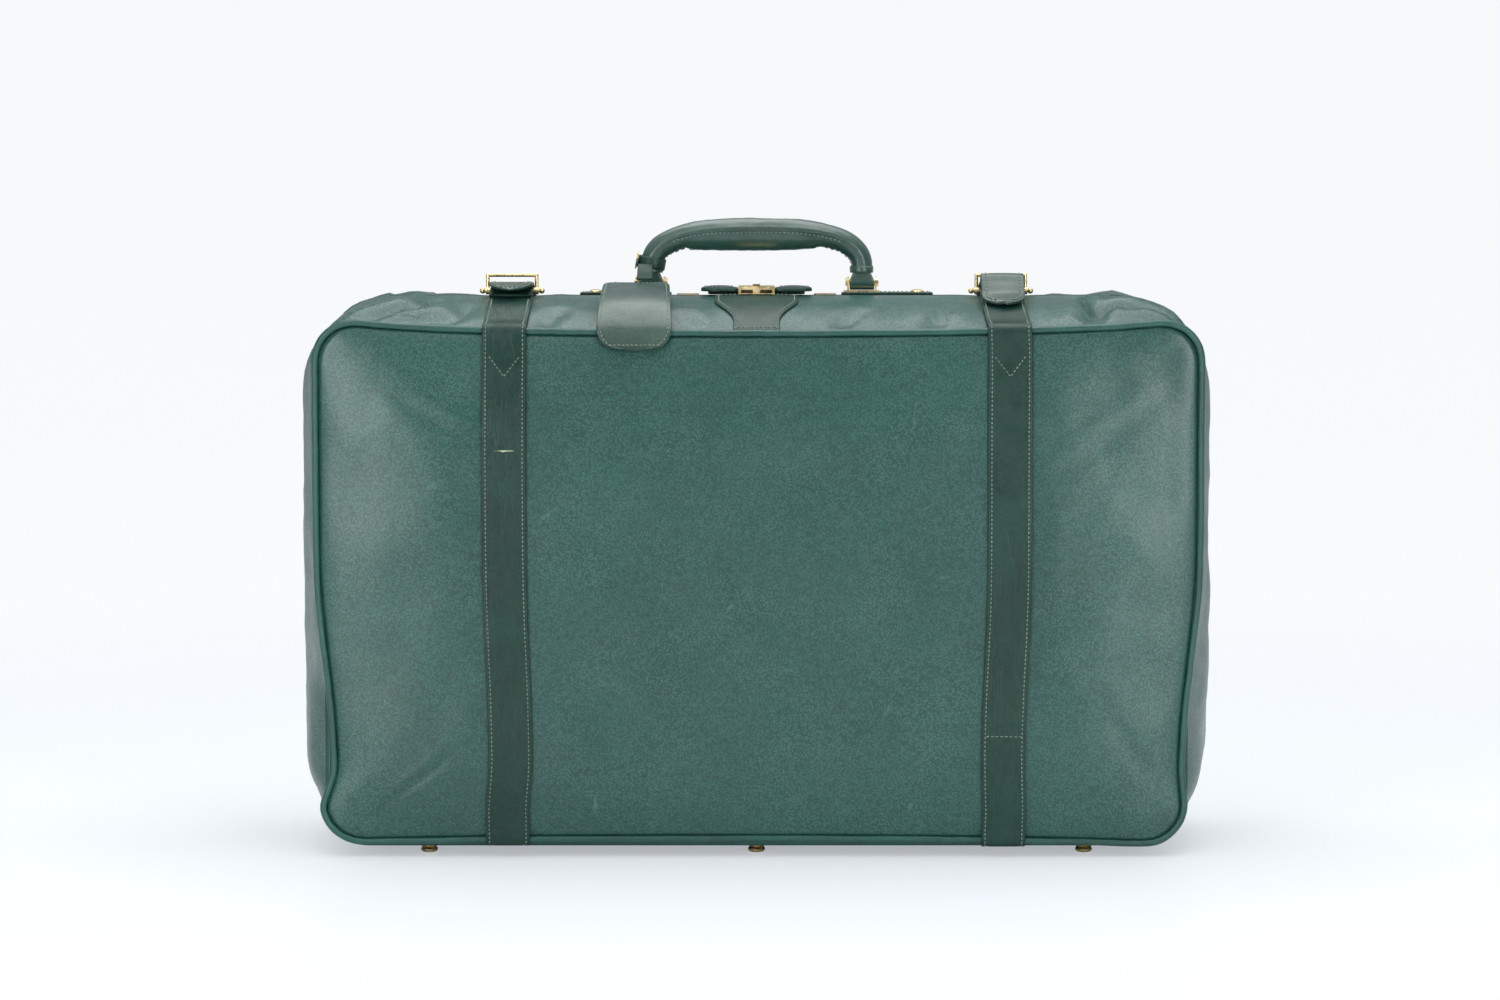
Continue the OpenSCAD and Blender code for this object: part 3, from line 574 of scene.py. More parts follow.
def effect_weave():
    """Plain weave of threads across each other."""
    t, i, o = effect("weave", [("Vector", "Vector", None), ("Scale", "Float", 900.0)], ["Height", "Thread"])
    at = t.vector("SCALE", i["Vector"], scale=i["Scale"])
    parts = t.add("ShaderNodeSeparateXYZ", {0: at}).outputs
    warp = t.calc("SINE", t.calc("ADD", parts[0], parts[1]))
    weft = t.calc("SINE", parts[2])
    over = t.calc("MAXIMUM", t.calc("ABSOLUTE", warp), t.calc("ABSOLUTE", weft))
    t.join(t.times_plus(t.times(warp, weft), 0.4, over), o["Height"])
    t.join(t.range(over, 0.5, 1.0), o["Thread"])


# Finishes

def finish(name, metallic=0.0, coat=0.0, coat_roughness=0.3, sheen=0.0, specular=0.5):
    """Starts a material: its tree, its shader and the object's own coordinates."""
    material = bpy.data.materials.new(name)
    material.use_nodes = True
    t = Tree(material.node_tree)
    shader = material.node_tree.nodes["Principled BSDF"]
    shader.inputs["Metallic"].default_value = metallic
    shader.inputs["Coat Weight"].default_value = coat
    shader.inputs["Coat Roughness"].default_value = coat_roughness
    shader.inputs["Sheen Weight"].default_value = sheen
    shader.inputs["Specular IOR Level"].default_value = specular
    return material, t, shader, t.add("ShaderNodeTexCoord").outputs["Object"]


def dress(t, shader, color=None, roughness=None, bumps=()):
    """Joins colour, roughness and a chain of bumps (height, strength, distance) to the shader."""
    if color is not None:
        t.join(color, shader.inputs["Base Color"])
    if roughness is not None:
        t.join(roughness, shader.inputs["Roughness"])
    normal = None
    for height, strength, distance in bumps:
        bump = t.add("ShaderNodeBump", {"Height": height, "Strength": strength, "Distance": distance})
        if normal is not None:
            t.join(normal, bump.inputs["Normal"])
        normal = bump.outputs[0]
    if normal is not None:
        t.join(normal, shader.inputs["Normal"])


def tint(name):
    """A colour of the settings, as three numbers."""
    return tuple(getattr(bpy.context.scene.case_colours, name))


def shade(color, k):
    """A colour made lighter or darker by a factor."""
    return tuple(min(1.0, c * k) for c in color)


# Rubbed places on the front: x and z of the middle, turn, half length, half height
RUBS = (
    (-0.242, 0.284, 0.5, 0.010, 0.005), (-0.158, 0.261, 0.7, 0.022, 0.0035),
    (0.118, 0.329, 1.5, 0.012, 0.003), (0.099, 0.114, 1.1, 0.016, 0.0035),
    (-0.122, 0.0415, 1.5, 0.012, 0.003), (0.116, 0.039, 1.3, 0.006, 0.003),
    (0.311, 0.239, 1.5, 0.006, 0.003), (0.140, 0.214, 0.1, 0.008, 0.003),
    (0.010, 0.300, 0.7, 0.005, 0.003), (-0.020, 0.192, 0.9, 0.006, 0.003),
)
RUB_Y, RUB_DEPTH = -0.101, 0.02
SCRATCH_COLOUR = (0.50, 0.56, 0.40)


@cache
def finish_hide():
    """Fine pebbled hide with clouds of paler green, rubbed places and a soft polish."""
    material, t, shader, at = finish("hide", coat=0.60, coat_roughness=0.28, specular=0.25)
    grain = t.group("pebbles", Vector=at, Scale=620.0, Wander=0.0012)
    age = t.group("patina", Vector=at, Scale=6.5)
    lines = t.group("creases", Vector=at, Scale=26.0, Stretch=(1, 1, 1.6), Width=0.022)
    wear = t.group("edge_wear", Vector=at, Start=0.535, Width=0.09)
    hide, pale = tint("hide"), tint("hide_pale")
    color = t.mix(t.range(age["Cloud"], 0, 1, 0.0, 0.62), hide, shade(hide, 1.42))
    color = t.mix(t.times(age["Speck"], 0.28), color, pale)
    color = t.mix(t.range(grain["Height"], 0.62, 0.95, 0.0, 0.22), color, pale)
    color = t.mix(t.times(grain["Valley"], 0.62), color, shade(hide, 0.40))
    color = t.mix(t.times(lines["Line"], 0.30), color, shade(hide, 0.55))
    rubbed = None
    for x, z, turn, length, height in RUBS:
        mask = t.group("rub", Vector=at, Place=(x, RUB_Y, z), Turn=turn, Size=(length, RUB_DEPTH, height))["Mask"]
        rubbed = mask if rubbed is None else t.calc("MAXIMUM", rubbed, mask)
    rubbed = t.calc("MAXIMUM", t.times(rubbed, 0.55), t.times(wear["Edge"], 0.5))
    color = t.mix(rubbed, color, pale)
    stain = t.group("rub", Vector=at, Place=(-0.136, -0.103, 0.319), Turn=0.3, Size=(0.010, RUB_DEPTH, 0.008))
    color = t.mix(t.times(stain["Mask"], 0.4), color, shade(hide, 0.4))
    # Painted shade: the hide is darker in its hollows.
    color = t.mix(t.times(wear["Hollow"], 0.45), color, shade(hide, 0.42))
    rough = t.times_plus(age["Gloss"], 0.16, t.times_plus(grain["Valley"], 0.16, 0.40))
    dress(t, shader, color, rough, ((lines["Height"], 0.35, 0.0006), (grain["Height"], 0.55, 0.0005)))
    return material


@cache
def smooth_leather(name, color, pale, coat, coat_roughness, streak=(1, 1, 1), grey=0.0, scratch=None):
    """Smooth waxed leather: a faint pore, streaks along it, rubbed edges, a broken gloss and maybe a scratch."""
    material, t, shader, at = finish(name, coat=coat, coat_roughness=coat_roughness, specular=0.28)
    pores = t.group("pebbles", Vector=at, Scale=1100.0, Wander=0.0006)
    age = t.group("patina", Vector=at, Scale=13.0)
    lines = t.group("creases", Vector=at, Scale=38.0, Stretch=streak, Width=0.05)
    wear = t.group("edge_wear", Vector=at, Start=0.54, Width=0.10)
    tone = t.mix(t.range(age["Cloud"], 0, 1, 0.0, 0.75), shade(color, 0.82), shade(color, 1.30))
    # The first 0.10 of pale specks is the leather's own. grey adds more of them as painted sheen on the handle and
    # the tag.
    tone = t.mix(t.times(age["Speck"], 0.10 + grey), tone, pale)
    tone = t.mix(t.times(lines["Line"], 0.38), tone, shade(color, 0.5))
    tone = t.mix(t.times(wear["Edge"], 0.75), tone, pale)
    # Painted shade: the leather is darker in its hollows.
    tone = t.mix(t.times(wear["Hollow"], 0.40), tone, shade(color, 0.45))
    if scratch:
        cut = t.group("rub", Vector=at, Place=scratch, Turn=0.0, Size=(0.0110, RUB_DEPTH, 0.0012))["Mask"]
        tone = t.mix(cut, tone, SCRATCH_COLOUR)
    rough = t.times_plus(age["Gloss"], 0.22, 0.30)
    dress(t, shader, tone, rough, ((lines["Height"], 0.45, 0.0004), (pores["Height"], 0.30, 0.00022)))
    return material


def finish_strap():
    """Leather of the straps and bases, with the scratch on the left strap."""
    return smooth_leather("strap_leather", tint("trim"), tint("edge"), 0.06, 0.34, (2.4, 1, 0.5),
                          scratch=(-STRAP_X - 0.001, -0.108, 0.310))


def finish_handle():
    """Glossier leather of the handle, its colour a paler, greyer copy of the trim as painted sheen."""
    # Painted sheen: the trim colour made 1.5 times lighter, with extra grey specks.
    return smooth_leather("handle_leather", shade(tint("trim"), 1.5), tint("edge"), 1.0, 0.33, (1.8, 1, 1.8),
                          grey=0.12)


def finish_tag():
    """Stiff leather of the tag and the strap tips, its colour a lighter, greyer copy of the trim as painted sheen.
    """
    # Painted sheen: the trim and edge colours made 1.2 times lighter, with extra grey specks.
    return smooth_leather("tag_leather", shade(tint("trim"), 1.2), shade(tint("edge"), 1.2), 0.62, 0.24,
                          (1, 1, 2.0), grey=0.08)


def finish_piping():
    """Leather of the piping, close to the hide."""
    return smooth_leather("piping_leather", shade(tint("hide"), 0.95), shade(tint("hide_pale"), 1.15), 0.40, 0.32)


@cache
def finish_thread():
    """Waxed linen thread with its twist."""
    material, t, shader, at = finish("thread", sheen=0.25)
    parts = t.add("ShaderNodeSeparateXYZ", {0: t.vector("SCALE", at, scale=5200.0)}).outputs
    twist = t.calc("SINE", t.calc("ADD", t.calc("ADD", parts[0], parts[1]), parts[2]))
    soil = t.group("patina", Vector=at, Scale=16.0)
    color = t.mix(soil["Cloud"], shade(tint("thread"), 0.72), shade(tint("thread"), 1.2))
    rough = t.times_plus(soil["Gloss"], 0.2, 0.6)
    dress(t, shader, color, rough, ((twist, 0.5, 0.0001),))
    return material


@cache
def metal(name, color, dark, rough_low, rough_high, grain_scale=140.0, groove_shade_z=None):
    """Worn polished metal: bright edges, dull hollows, fine scratches and maybe a line of painted shade along a
    height, where a groove would be.
    """
    material, t, shader, at = finish(name, metallic=1.0)
    age = t.group("patina", Vector=at, Scale=30.0)
    wear = t.group("edge_wear", Vector=at, Start=0.52, Width=0.08)
    scratch = t.group("creases", Vector=at, Scale=grain_scale, Stretch=(4, 1, 1), Width=0.03)
    tone = t.mix(t.times(age["Cloud"], 0.5), color, dark)
    tone = t.mix(t.times(wear["Hollow"], 0.7), tone, shade(dark, 0.5))
    tone = t.mix(t.times(wear["Edge"], 0.5), tone, shade(color, 1.15))
    # Painted shade: a near-black band at one height, either side of the middle, stands in for the shaded groove
    # between the lock's bars.
    if groove_shade_z:
        parts = t.add("ShaderNodeSeparateXYZ", {0: at}).outputs
        off = t.calc("ABSOLUTE", t.calc("SUBTRACT", parts[2], groove_shade_z))
        side = t.calc("ABSOLUTE", parts[0])
        inside = t.times(t.range(side, 0.0118, 0.0122, 1.0, 0.0), t.range(side, 0.0026, 0.0030))
        tone = t.mix(t.times(t.range(off, 0.0011, 0.0014, 1.0, 0.0), inside), tone, shade(dark, 0.15))
    rough = t.range(age["Gloss"], 0, 1, rough_low, rough_high)
    dress(t, shader, tone, rough, ((scratch["Height"], 0.15, 0.0001),))
    return material


def finish_brass():
    """Worn brass of the fittings."""
    return metal("brass_worn", tint("brass"), shade(tint("brass"), 0.62), 0.20, 0.42)


def finish_lock():
    """Brass of the lock, with two lines of painted shade across it that stand for the groove between its bars."""
    return metal("brass_lock", tint("brass"), shade(tint("brass"), 0.62), 0.20, 0.38, groove_shade_z=0.4258)


def finish_steel():
    """Plain steel of the hidden frames and core."""
    return metal("steel_plain", (0.52, 0.53, 0.54), (0.34, 0.34, 0.35), 0.35, 0.5)


@cache
def cloth(name, color, scale, rough=0.85):
    """Woven cloth with uneven threads."""
    material, t, shader, at = finish(name, sheen=0.3)
    weave = t.group("weave", Vector=at, Scale=scale)
    age = t.group("patina", Vector=at, Scale=9.0)
    tone = t.mix(t.times(weave["Thread"], 0.6), shade(color, 0.62), shade(color, 1.12))
    tone = t.mix(t.times(age["Cloud"], 0.3), tone, shade(color, 0.72))
    dress(t, shader, tone, t.times_plus(age["Gloss"], 0.08, rough), ((weave["Height"], 0.6, 0.0003),))
    return material


@cache
def finish_board():
    """Pressed fibre board."""
    material, t, shader, at = finish("fibre_board")
    age = t.group("patina", Vector=at, Scale=20.0)
    tone = t.mix(age["Cloud"], (0.20, 0.13, 0.075), (0.30, 0.21, 0.13))
    tone = t.mix(t.times(age["Speck"], 0.5), tone, (0.12, 0.08, 0.05))
    dress(t, shader, tone, t.times_plus(age["Gloss"], 0.15, 0.7), ((age["Speck"], 0.4, 0.0003),))
    return material


@cache
def finish_wadding():
    """Soft white wadding."""
    material, t, shader, at = finish("wadding", sheen=0.5)
    age = t.group("patina", Vector=at, Scale=24.0)
    tone = t.mix(age["Cloud"], (0.62, 0.58, 0.47), (0.74, 0.71, 0.62))
    dress(t, shader, tone, t.times_plus(age["Gloss"], 0.05, 0.9), ((age["Speck"], 0.7, 0.0006),))
    return material


@cache
def finish_card():
    """Plain uncoated card."""
    material, t, shader, at = finish("plain_card")
    age = t.group("patina", Vector=at, Scale=18.0)
    tone = t.mix(age["Cloud"], (0.66, 0.61, 0.47), (0.78, 0.74, 0.62))
    dress(t, shader, tone, t.times_plus(age["Gloss"], 0.1, 0.75), ((age["Speck"], 0.2, 0.0001),))
    return material


# Leather of the two halves

# Folds of the front gusset's top: ends in x and y, depth factor, width. The rear has them mirrored.
FOLDS = (
    ((-0.318, -0.088), (-0.262, -0.056), 1.00, 0.0085),
    ((-0.262, -0.056), (-0.240, -0.018), 0.75, 0.0075),
    ((-0.300, -0.090), (-0.236, -0.078), 0.55, 0.0060),
    ((0.250, -0.090), (0.262, -0.040), 0.85, 0.0075),
    ((0.262, -0.052), (0.298, -0.060), 1.00, 0.0080),
    ((0.298, -0.060), (0.326, -0.086), 0.85, 0.0075),
    ((0.276, -0.030), (0.318, -0.034), 0.60, 0.0080),
    ((-0.232, -0.088), (-0.214, -0.048), 0.50, 0.0060),
    ((-0.164, -0.088), (-0.150, -0.058), 0.40, 0.0065),
    ((0.130, -0.088), (0.146, -0.050), 0.40, 0.0065),
    ((-0.045, -0.090), (-0.058, -0.064), 0.30, 0.0055),
    ((0.056, -0.090), (0.078, -0.060), 0.35, 0.0060),
)
# Dents of the panels: x and z of the middle, turn, length, width, depth factor
DENTS = (
    (-0.256, 0.058, 0.72, 0.030, 0.0035, 0.9), (-0.236, 0.330, -0.5, 0.034, 0.006, 0.5),
    (0.262, 0.318, 0.6, 0.040, 0.007, 0.6), (0.110, 0.060, 0.2, 0.030, 0.006, 0.4),
    (-0.118, 0.350, 1.2, 0.024, 0.006, 0.5), (0.285, 0.085, 2.2, 0.034, 0.006, 0.7),
)
DENT_DEPTH = 0.0011
# Range of x that the luggage tag covers
TAG_FROM, TAG_TO = -0.128, -0.056


def segment_distance(px, py, a, b):
    """Distance of a point from the line a to b, and the share of the line where it is nearest."""
    vx, vy = b[0] - a[0], b[1] - a[1]
    t = min(1.0, max(0.0, ((px - a[0]) * vx + (py - a[1]) * vy) / (vx * vx + vy * vy)))
    return hypot(px - a[0] - vx * t, py - a[1] - vy * t), t


def strap_near(x):
    """1 under a strap and fading to 0 beside it."""
    return 1 - smoothstep(STRAP_W / 2 + 0.001, STRAP_W / 2 + 0.016, abs(abs(x) - STRAP_X))


def free_gusset(x, y, z):
    """How freely the gusset may wander at a point: not at its seams nor under what is sewn on it."""
    free = smoothstep(0.0905, 0.078, abs(y)) * smoothstep(0.006, 0.022, abs(y))
    if z > TOP_ZONE:
        if abs(y) < 0.044 and abs(x) < 0.150:
            free *= max(smoothstep(0.036, 0.044, abs(y)), smoothstep(0.139, 0.150, abs(x)))
        if y < 0 and abs(x) < 0.042:
            free *= smoothstep(0.032, 0.042, abs(x))
        if y < 0 and TAG_FROM < x < TAG_TO:
            free *= max(smoothstep(TAG_TO - 0.008, TAG_TO, x), smoothstep(TAG_FROM + 0.008, TAG_FROM, x))
    if z > TOP_ZONE or z < FOOT_ZONE:
        free *= 1 - strap_near(x)
    return free


def gusset_shift(x, y, z, side, seed):
    """How far the gusset stands out of its plain form at a point, in metres."""
    shape = bpy.context.scene.case_shape
    free = free_gusset(x, y, z)
    d = shape.puff * (1.0 * lump(x, y, z, 0.085, seed) + 0.55 * lump(x, y, z, 0.036, seed + 3)
                      + 0.22 * lump(x, y, z, 0.015, seed + 5))
    if abs(x) > 0.30:
        d += shape.puff * 0.8 * lump(x, y * 0.4, z, 0.048, seed + 8)
    if z < FOOT_ZONE:
        d = min(d, 0.0) * 0.3
    if z > 0.37:
        for a, b, deep, wide in FOLDS:
            px, py = (x, y) if side < 0 else (-x * 0.97, -y)
            far, t = segment_distance(px, py, a, b)
            if far < 4 * wide:
                along = sin(pi * (0.12 + 0.76 * t)) ** 0.5
                d -= shape.fold * deep * along * (exp(-(far / wide) ** 2)
                                                  - 0.42 * exp(-((far - 2.0 * wide) / (0.9 * wide)) ** 2))
    pressed = strap_near(x) * smoothstep(0.0905, 0.080, abs(y)) * (z > TOP_ZONE or z < FOOT_ZONE)
    d = d * free - 0.0005 * pressed
    return max(d, -0.0002 - 0.5 * max(0.0, 0.0835 - abs(y)))


GUSSET_ROWS = [0.0910, 0.0904, 0.0890, 0.0868, 0.0840, 0.0805, 0.0765, 0.0720, 0.0672, 0.0622, 0.0570, 0.0518,
               0.0466, 0.0414, 0.0362, 0.0312, 0.0264, 0.0218, 0.0174, 0.0132, 0.0095, 0.0066, 0.0046]


def gusset_mesh(side, seed):
    """The soft side of one half, as a closed leaf of leather. side is -1 for the front and 1 for the rear."""
    outer, inner = [], []
    for y in GUSSET_ROWS:
        ring = outline(side_out(y), bottom_out(y), top_out(y), corner_r(y))
        for x, z, nx, nz in ring:
            d = gusset_shift(x, side * y, z, side, seed)
            p = flared((x + nx * d, side * y, z + nz * d))
            outer.append(p)
            inner.append(p - Vector((nx, 0, nz)) * HIDE_T)
    cols, rows, flip = len(ring), len(GUSSET_ROWS), side > 0
    n = rows * cols
    faces = lattice(rows, cols, 0, flip=not flip) + lattice(rows, cols, n, flip=flip)
    for row in (0, rows - 1):
        for j in range(cols):
            a, b = row * cols + j, row * cols + (j + 1) % cols
            quad = (a, b, n + b, n + a)
            faces.append(quad if (row == 0) == flip else quad[::-1])
    return outer + inner, faces


def panel_shift(x, z, side, seed):
    """How far a panel stands out of its plain crown at a point, in metres."""
    shape = bpy.context.scene.case_shape
    u, v = abs(x) / (PANEL_W / 2), abs(z - PANEL_ZC) / (PANEL_H / 2)
    free = (1 - strap_near(x)) * smoothstep(1.0, 0.93, max(u, v))
    if z > 0.365 and TAG_FROM < x < TAG_TO:
        free *= 0.15
    d = shape.puff * (0.62 * lump(x, side, z, 0.105, seed) + 0.30 * lump(x, side, z, 0.042, seed + 2)
                      + 0.12 * lump(x, side, z, 0.018, seed + 4))
    for cx, cz, turn, length, wide, deep in DENTS:
        a, b = (x - cx) * cos(turn) + (z - cz) * sin(turn), (z - cz) * cos(turn) - (x - cx) * sin(turn)
        across = exp(-(b / wide) ** 2) - 0.5 * exp(-((b - 2 * wide) / wide) ** 2)
        d -= DENT_DEPTH * deep * exp(-(a / length) ** 2) * across
    return d * free - 0.0004 * strap_near(x)


def panel_mesh(side, seed):
    """One crowned panel of leather with its rolled rim."""
    shares = [0.03 + 0.97 * (1 - (1 - i / 41) ** 1.25) for i in range(42)]
    face = outline(PANEL_W / 2, PANEL_Z0, PANEL_Z1, PANEL_R)
    verts = []

    def at(x, z, depth, s):
        out = HALF_D + CROWN * crown(x, z) + panel_shift(x, z, side, seed) - 0.0011 * s ** 60 - depth
        return flared((x, side * out, z))

    for s in shares:
        verts += [at(x * s, PANEL_ZC + (z - PANEL_ZC) * s, 0, s) for x, z, _, _ in face]
    for s in reversed(shares):
        verts += [at(x * s, PANEL_ZC + (z - PANEL_ZC) * s, HIDE_T - (0.0009 if s == 1 else 0), s)
                  for x, z, _, _ in face]
    cols, rows = len(face), 2 * len(shares)
    faces = lattice(rows, cols, 0, flip=side > 0)
    verts += [at(0, PANEL_ZC, 0, 0), at(0, PANEL_ZC, LEATHER, 0)]
    last = (rows - 1) * cols
    for j in range(cols):
        a, b = j, (j + 1) % cols
        faces.append((b, a, rows * cols) if side < 0 else (a, b, rows * cols))
        faces.append((last + a, last + b, rows * cols + 1) if side < 0 else (last + b, last + a, rows * cols + 1))
    return verts, faces


def rim_path(off, y):
    """Path beside the panel's rim, off it outwards."""
    ring = outline(PANEL_W / 2, PANEL_Z0, PANEL_Z1, PANEL_R)
    return [flared((x + nx * off, y, z + nz * off)) for x, z, nx, nz in ring]


def piping_mesh(side, seed):
    """The cord in its leather, pinched here and there, with the sewn flange as a flat ring behind it."""
    path = rim_path(CORD_OFF, side * CORD_Y)

    def section(i, t):
        p, d = path[i], tangent(path, i, True)
        out = Vector((0, side, 0)).cross(d).normalized() * side
        wob = 0.0004 * lump(p.x, p.y, p.z, 0.030, seed) + 0.00025 * lump(p.x, p.y, p.z, 0.010, seed + 1)
        r = CORD_R * (1.0 + 0.055 * lump(p.x, p.y, p.z, 0.006, seed + 2))
        return [p + out * (r * cos(a) + wob) + Vector((0, side, 0)) * (r * sin(a) + wob * 0.5)
                for a in (2 * pi * k / 14 for k in range(14))]

    verts, faces = sweep(path, section, closed=True)
    inner, mid = rim_path(-0.0052, 0), rim_path(CORD_OFF - 0.0012, 0)
    near, far = GUSSET_Y + 0.0001, GUSSET_Y + 0.0015
    flange = [Vector((p.x, side * y, p.z)) for ring, y in ((mid, near), (inner, near), (inner, far), (mid, far))
              for p in ring]
    join(verts, faces, (flange, lattice(4, len(mid), close_rows=True, flip=side > 0)))
    return verts, faces


def lining_mesh(side, seed):
    """Cotton bag inside one half, with soft gathers. It follows the gusset's folds. Its inside and outside are
    two leaves, each closed in the middle by one face."""
    ys = [0.018, 0.0235, 0.029, 0.036, 0.0445, 0.053, 0.062, 0.071, 0.078, 0.0815]

    def plain(y, inset):
        return outline(side_out(y) - inset, bottom_out(y) + inset, top_out(y) - inset, corner_r(y) - inset)

    def ring(y, inset):
        deep = 0.0009 * smoothstep(0.018, 0.05, y) * smoothstep(0.084, 0.07, y)
        pts = []
        for x, z, nx, nz in plain(y, inset):
            d = min(0.0, gusset_shift(x, side * y, z, side, seed)) - 0.0003
            pts.append(flared((x + nx * (d - deep * (1 + sin(110 * x + 3 * sin(40 * z)))), side * y,
                               z + nz * (d - deep * (1 + sin(150 * x))))))
        return pts

    def cap(y, inset):
        return [[flared((x * s, side * y, PANEL_ZC + (z - PANEL_ZC) * s)) for x, z, _, _ in plain(y, inset)]
                for s in (0.999, 0.985, 0.9, 0.7, 0.45, 0.2, 0.02)]

    rows = [ring(y, 0.0027) for y in ys] + cap(0.0824, 0.0032)
    n, last = len(rows[0]), len(rows)
    rows += cap(0.0816, 0.0040)[::-1] + [ring(y, 0.0035) for y in ys[::-1]]
    faces = lattice(len(rows), n, 0, close_rows=True, flip=side < 0)
    del faces[(last - 1) * n:last * n]
    for row, turn in ((last - 1, side < 0), (last, side > 0)):
        middle = range(row * n, (row + 1) * n)
        faces.append(tuple(reversed(middle) if turn else middle))
    return [v for r in rows for v in r], faces


def padding_mesh(side):
    """Wadding pad between a panel and its board: thick in the middle, thin at its rim."""
    inset = 0.0112
    a, h = PANEL_W / 2 - inset, PANEL_H / 2 - inset
    face = outline(a, PANEL_ZC - h, PANEL_ZC + h, PANEL_R - inset)
    shares = [0.03, 0.2, 0.4, 0.58, 0.74, 0.86, 0.94, 0.98, 1.0]
    verts = []
    for front in (True, False):
        for s in (shares if front else shares[::-1]):
            for x, z, _, _ in face:
                px, pz = x * s, PANEL_ZC + (z - PANEL_ZC) * s
                top = HALF_D - LEATHER - 0.0006 + (CROWN - 0.0008) * crown(px, pz) - 0.0022 * s ** 30
                verts.append(Vector((px, side * (top if front else 0.0861), pz)))
    n, rows = len(face), 2 * len(shares)
    faces = lattice(rows, n, 0, flip=side > 0)
    for middle, turn in ((range(n), side < 0), (range((rows - 1) * n, rows * n), side > 0)):
        faces.append(tuple(reversed(middle) if turn else middle))
    return verts, faces


class CASE_OT_halves(bpy.types.Operator):
    """Makes the leather panels, gussets, piping, linings and padding of both halves"""
    bl_idname = "travel_case.halves"
    bl_label = "Leather halves"

    def execute(self, context):
        seed = context.scene.case_shape.seed
        for name, side, start in (("front", -1, seed), ("rear", 1, seed + 11)):
            body = f"{name}_half"
            cotton = cloth("cotton_lining", tint("lining"), 2400.0)
            for what, mesh, leather, slot in (
                    ("panel_hide", panel_mesh(side, start), finish_hide(), "body_leather"),
                    ("gusset_hide", gusset_mesh(side, start), finish_hide(), "body_leather"),
                    ("piping_cord", piping_mesh(side, start), finish_piping(), "trim_leather")):
                make(f"{name}_{what}", *mesh, leather, body, [f"{name}_{what.split('_')[0]}"], slot)
            lining = make(f"{name}_lining_cotton", *lining_mesh(side, start), cotton, body, [f"{name}_lining"],
                          "lining")
            pad = make(f"{name}_wadding", *padding_mesh(side), finish_wadding(), body, [f"{name}_padding"], "foam")
        return {"FINISHED"}


# Straps

def strap_surface(y_end):
    """Path (y, z) on the case under a strap, from the bottom round the panel to the top at y_end."""
    pts = [(y, bottom_out(y)) for y in (0.0002, 0.015, 0.03, 0.045, 0.06, 0.072, 0.082)]
    pts += [(CORD_Y - CORD_R * cos(radians(t)), PANEL_Z0 - CORD_OFF + CORD_R * sin(radians(t)))
            for t in range(290, 180, -18)]
    for k in range(25):
        z = PANEL_Z0 + 0.009 + (PANEL_H - 0.018) * k / 24
        pts.append((HALF_D + CROWN * crown(STRAP_X, z), z))
    pts += [(CORD_Y - CORD_R * cos(radians(t)), PANEL_Z1 + CORD_OFF + CORD_R * sin(radians(t)))
            for t in range(179, 95, -15)]
    y = 0.080
    while y > y_end + 0.003:
        pts.append((y, top_out(y)))
        y -= 0.007
    pts.append((y_end, top_out(y_end)))
    return pts


def lifted(points, rise):
    """Moves a path of (y, z) points out of the surface that it lies on."""
    out = []
    for i, p in enumerate(points):
        a, b = points[max(0, i - 1)], points[min(len(points) - 1, i + 1)]
        dy, dz = b[0] - a[0], b[1] - a[1]
        n = hypot(dy, dz) or 1.0
        out.append((p[0] + rise * dz / n, p[1] - rise * dy / n))
    return out


def strap_path(x, side, points):
    """Middle line of a strap over points (y, z), carried to the rim's uneven form."""
    return resample(rounded([flared((x, side * y, z)) for y, z in points]), 0.004)


def strap_wobble(seed):
    """Soft unevenness of a strap: it bows a little and its edges aren't quite straight."""

    def bend(p, u):
        if 0.03 < p.z < PANEL_Z1 - 0.008:
            p = p + Vector((0.0006 * lump(0, p.y, p.z, 0.07, seed), 0, 0))
            out = 0.00045 * lump(u * 3, 1, p.z, 0.030, seed + 1) * (0.3 + abs(u) / (STRAP_W / 2))
            p.y += copysign(max(out, -0.0001), p.y)
        return p
    return bend


def front_out(p, d):
    """Outward direction on the front half at a point of a path that goes up."""
    return ACROSS.cross(d).normalized()


def rear_out(p, d):
    """Outward direction on the rear half at a point of a path that goes up."""
    return (-ACROSS).cross(d).normalized()


def edge_rows(path, up_of, lift, bend):
    """Stitch rows beside both edges of a strap, which follow its unevenness."""
    return [([bend(p + ACROSS * (s * STRAP_SEAM) + up_of(p, tangent(path, i)) * lift, s * STRAP_SEAM)
              for i, p in enumerate(path)], False) for s in (-1, 1)]


# Middle line of the straps' tips: distance to the front, and height over the point where they leave the buckle
TIP_STRAIGHT = ((TIP_Y + 0.0002, 0), (0.0210, 0.0010), (0.0300, 0.0004), (0.0370, -0.0010), (0.0440, -0.0036))
TIP_BOWED = ((TIP_Y + 0.0002, 0), (0.0190, 0.0026), (0.0228, 0.0064), (0.0278, 0.0084), (0.0340, 0.0054),
             (0.0392, -0.0006), (0.0442, -0.0058), (0.0500, -0.0084), (0.0560, -0.0102), (0.0615, -0.0120))
STRAP_RISE = GAP + STRAP_T / 2


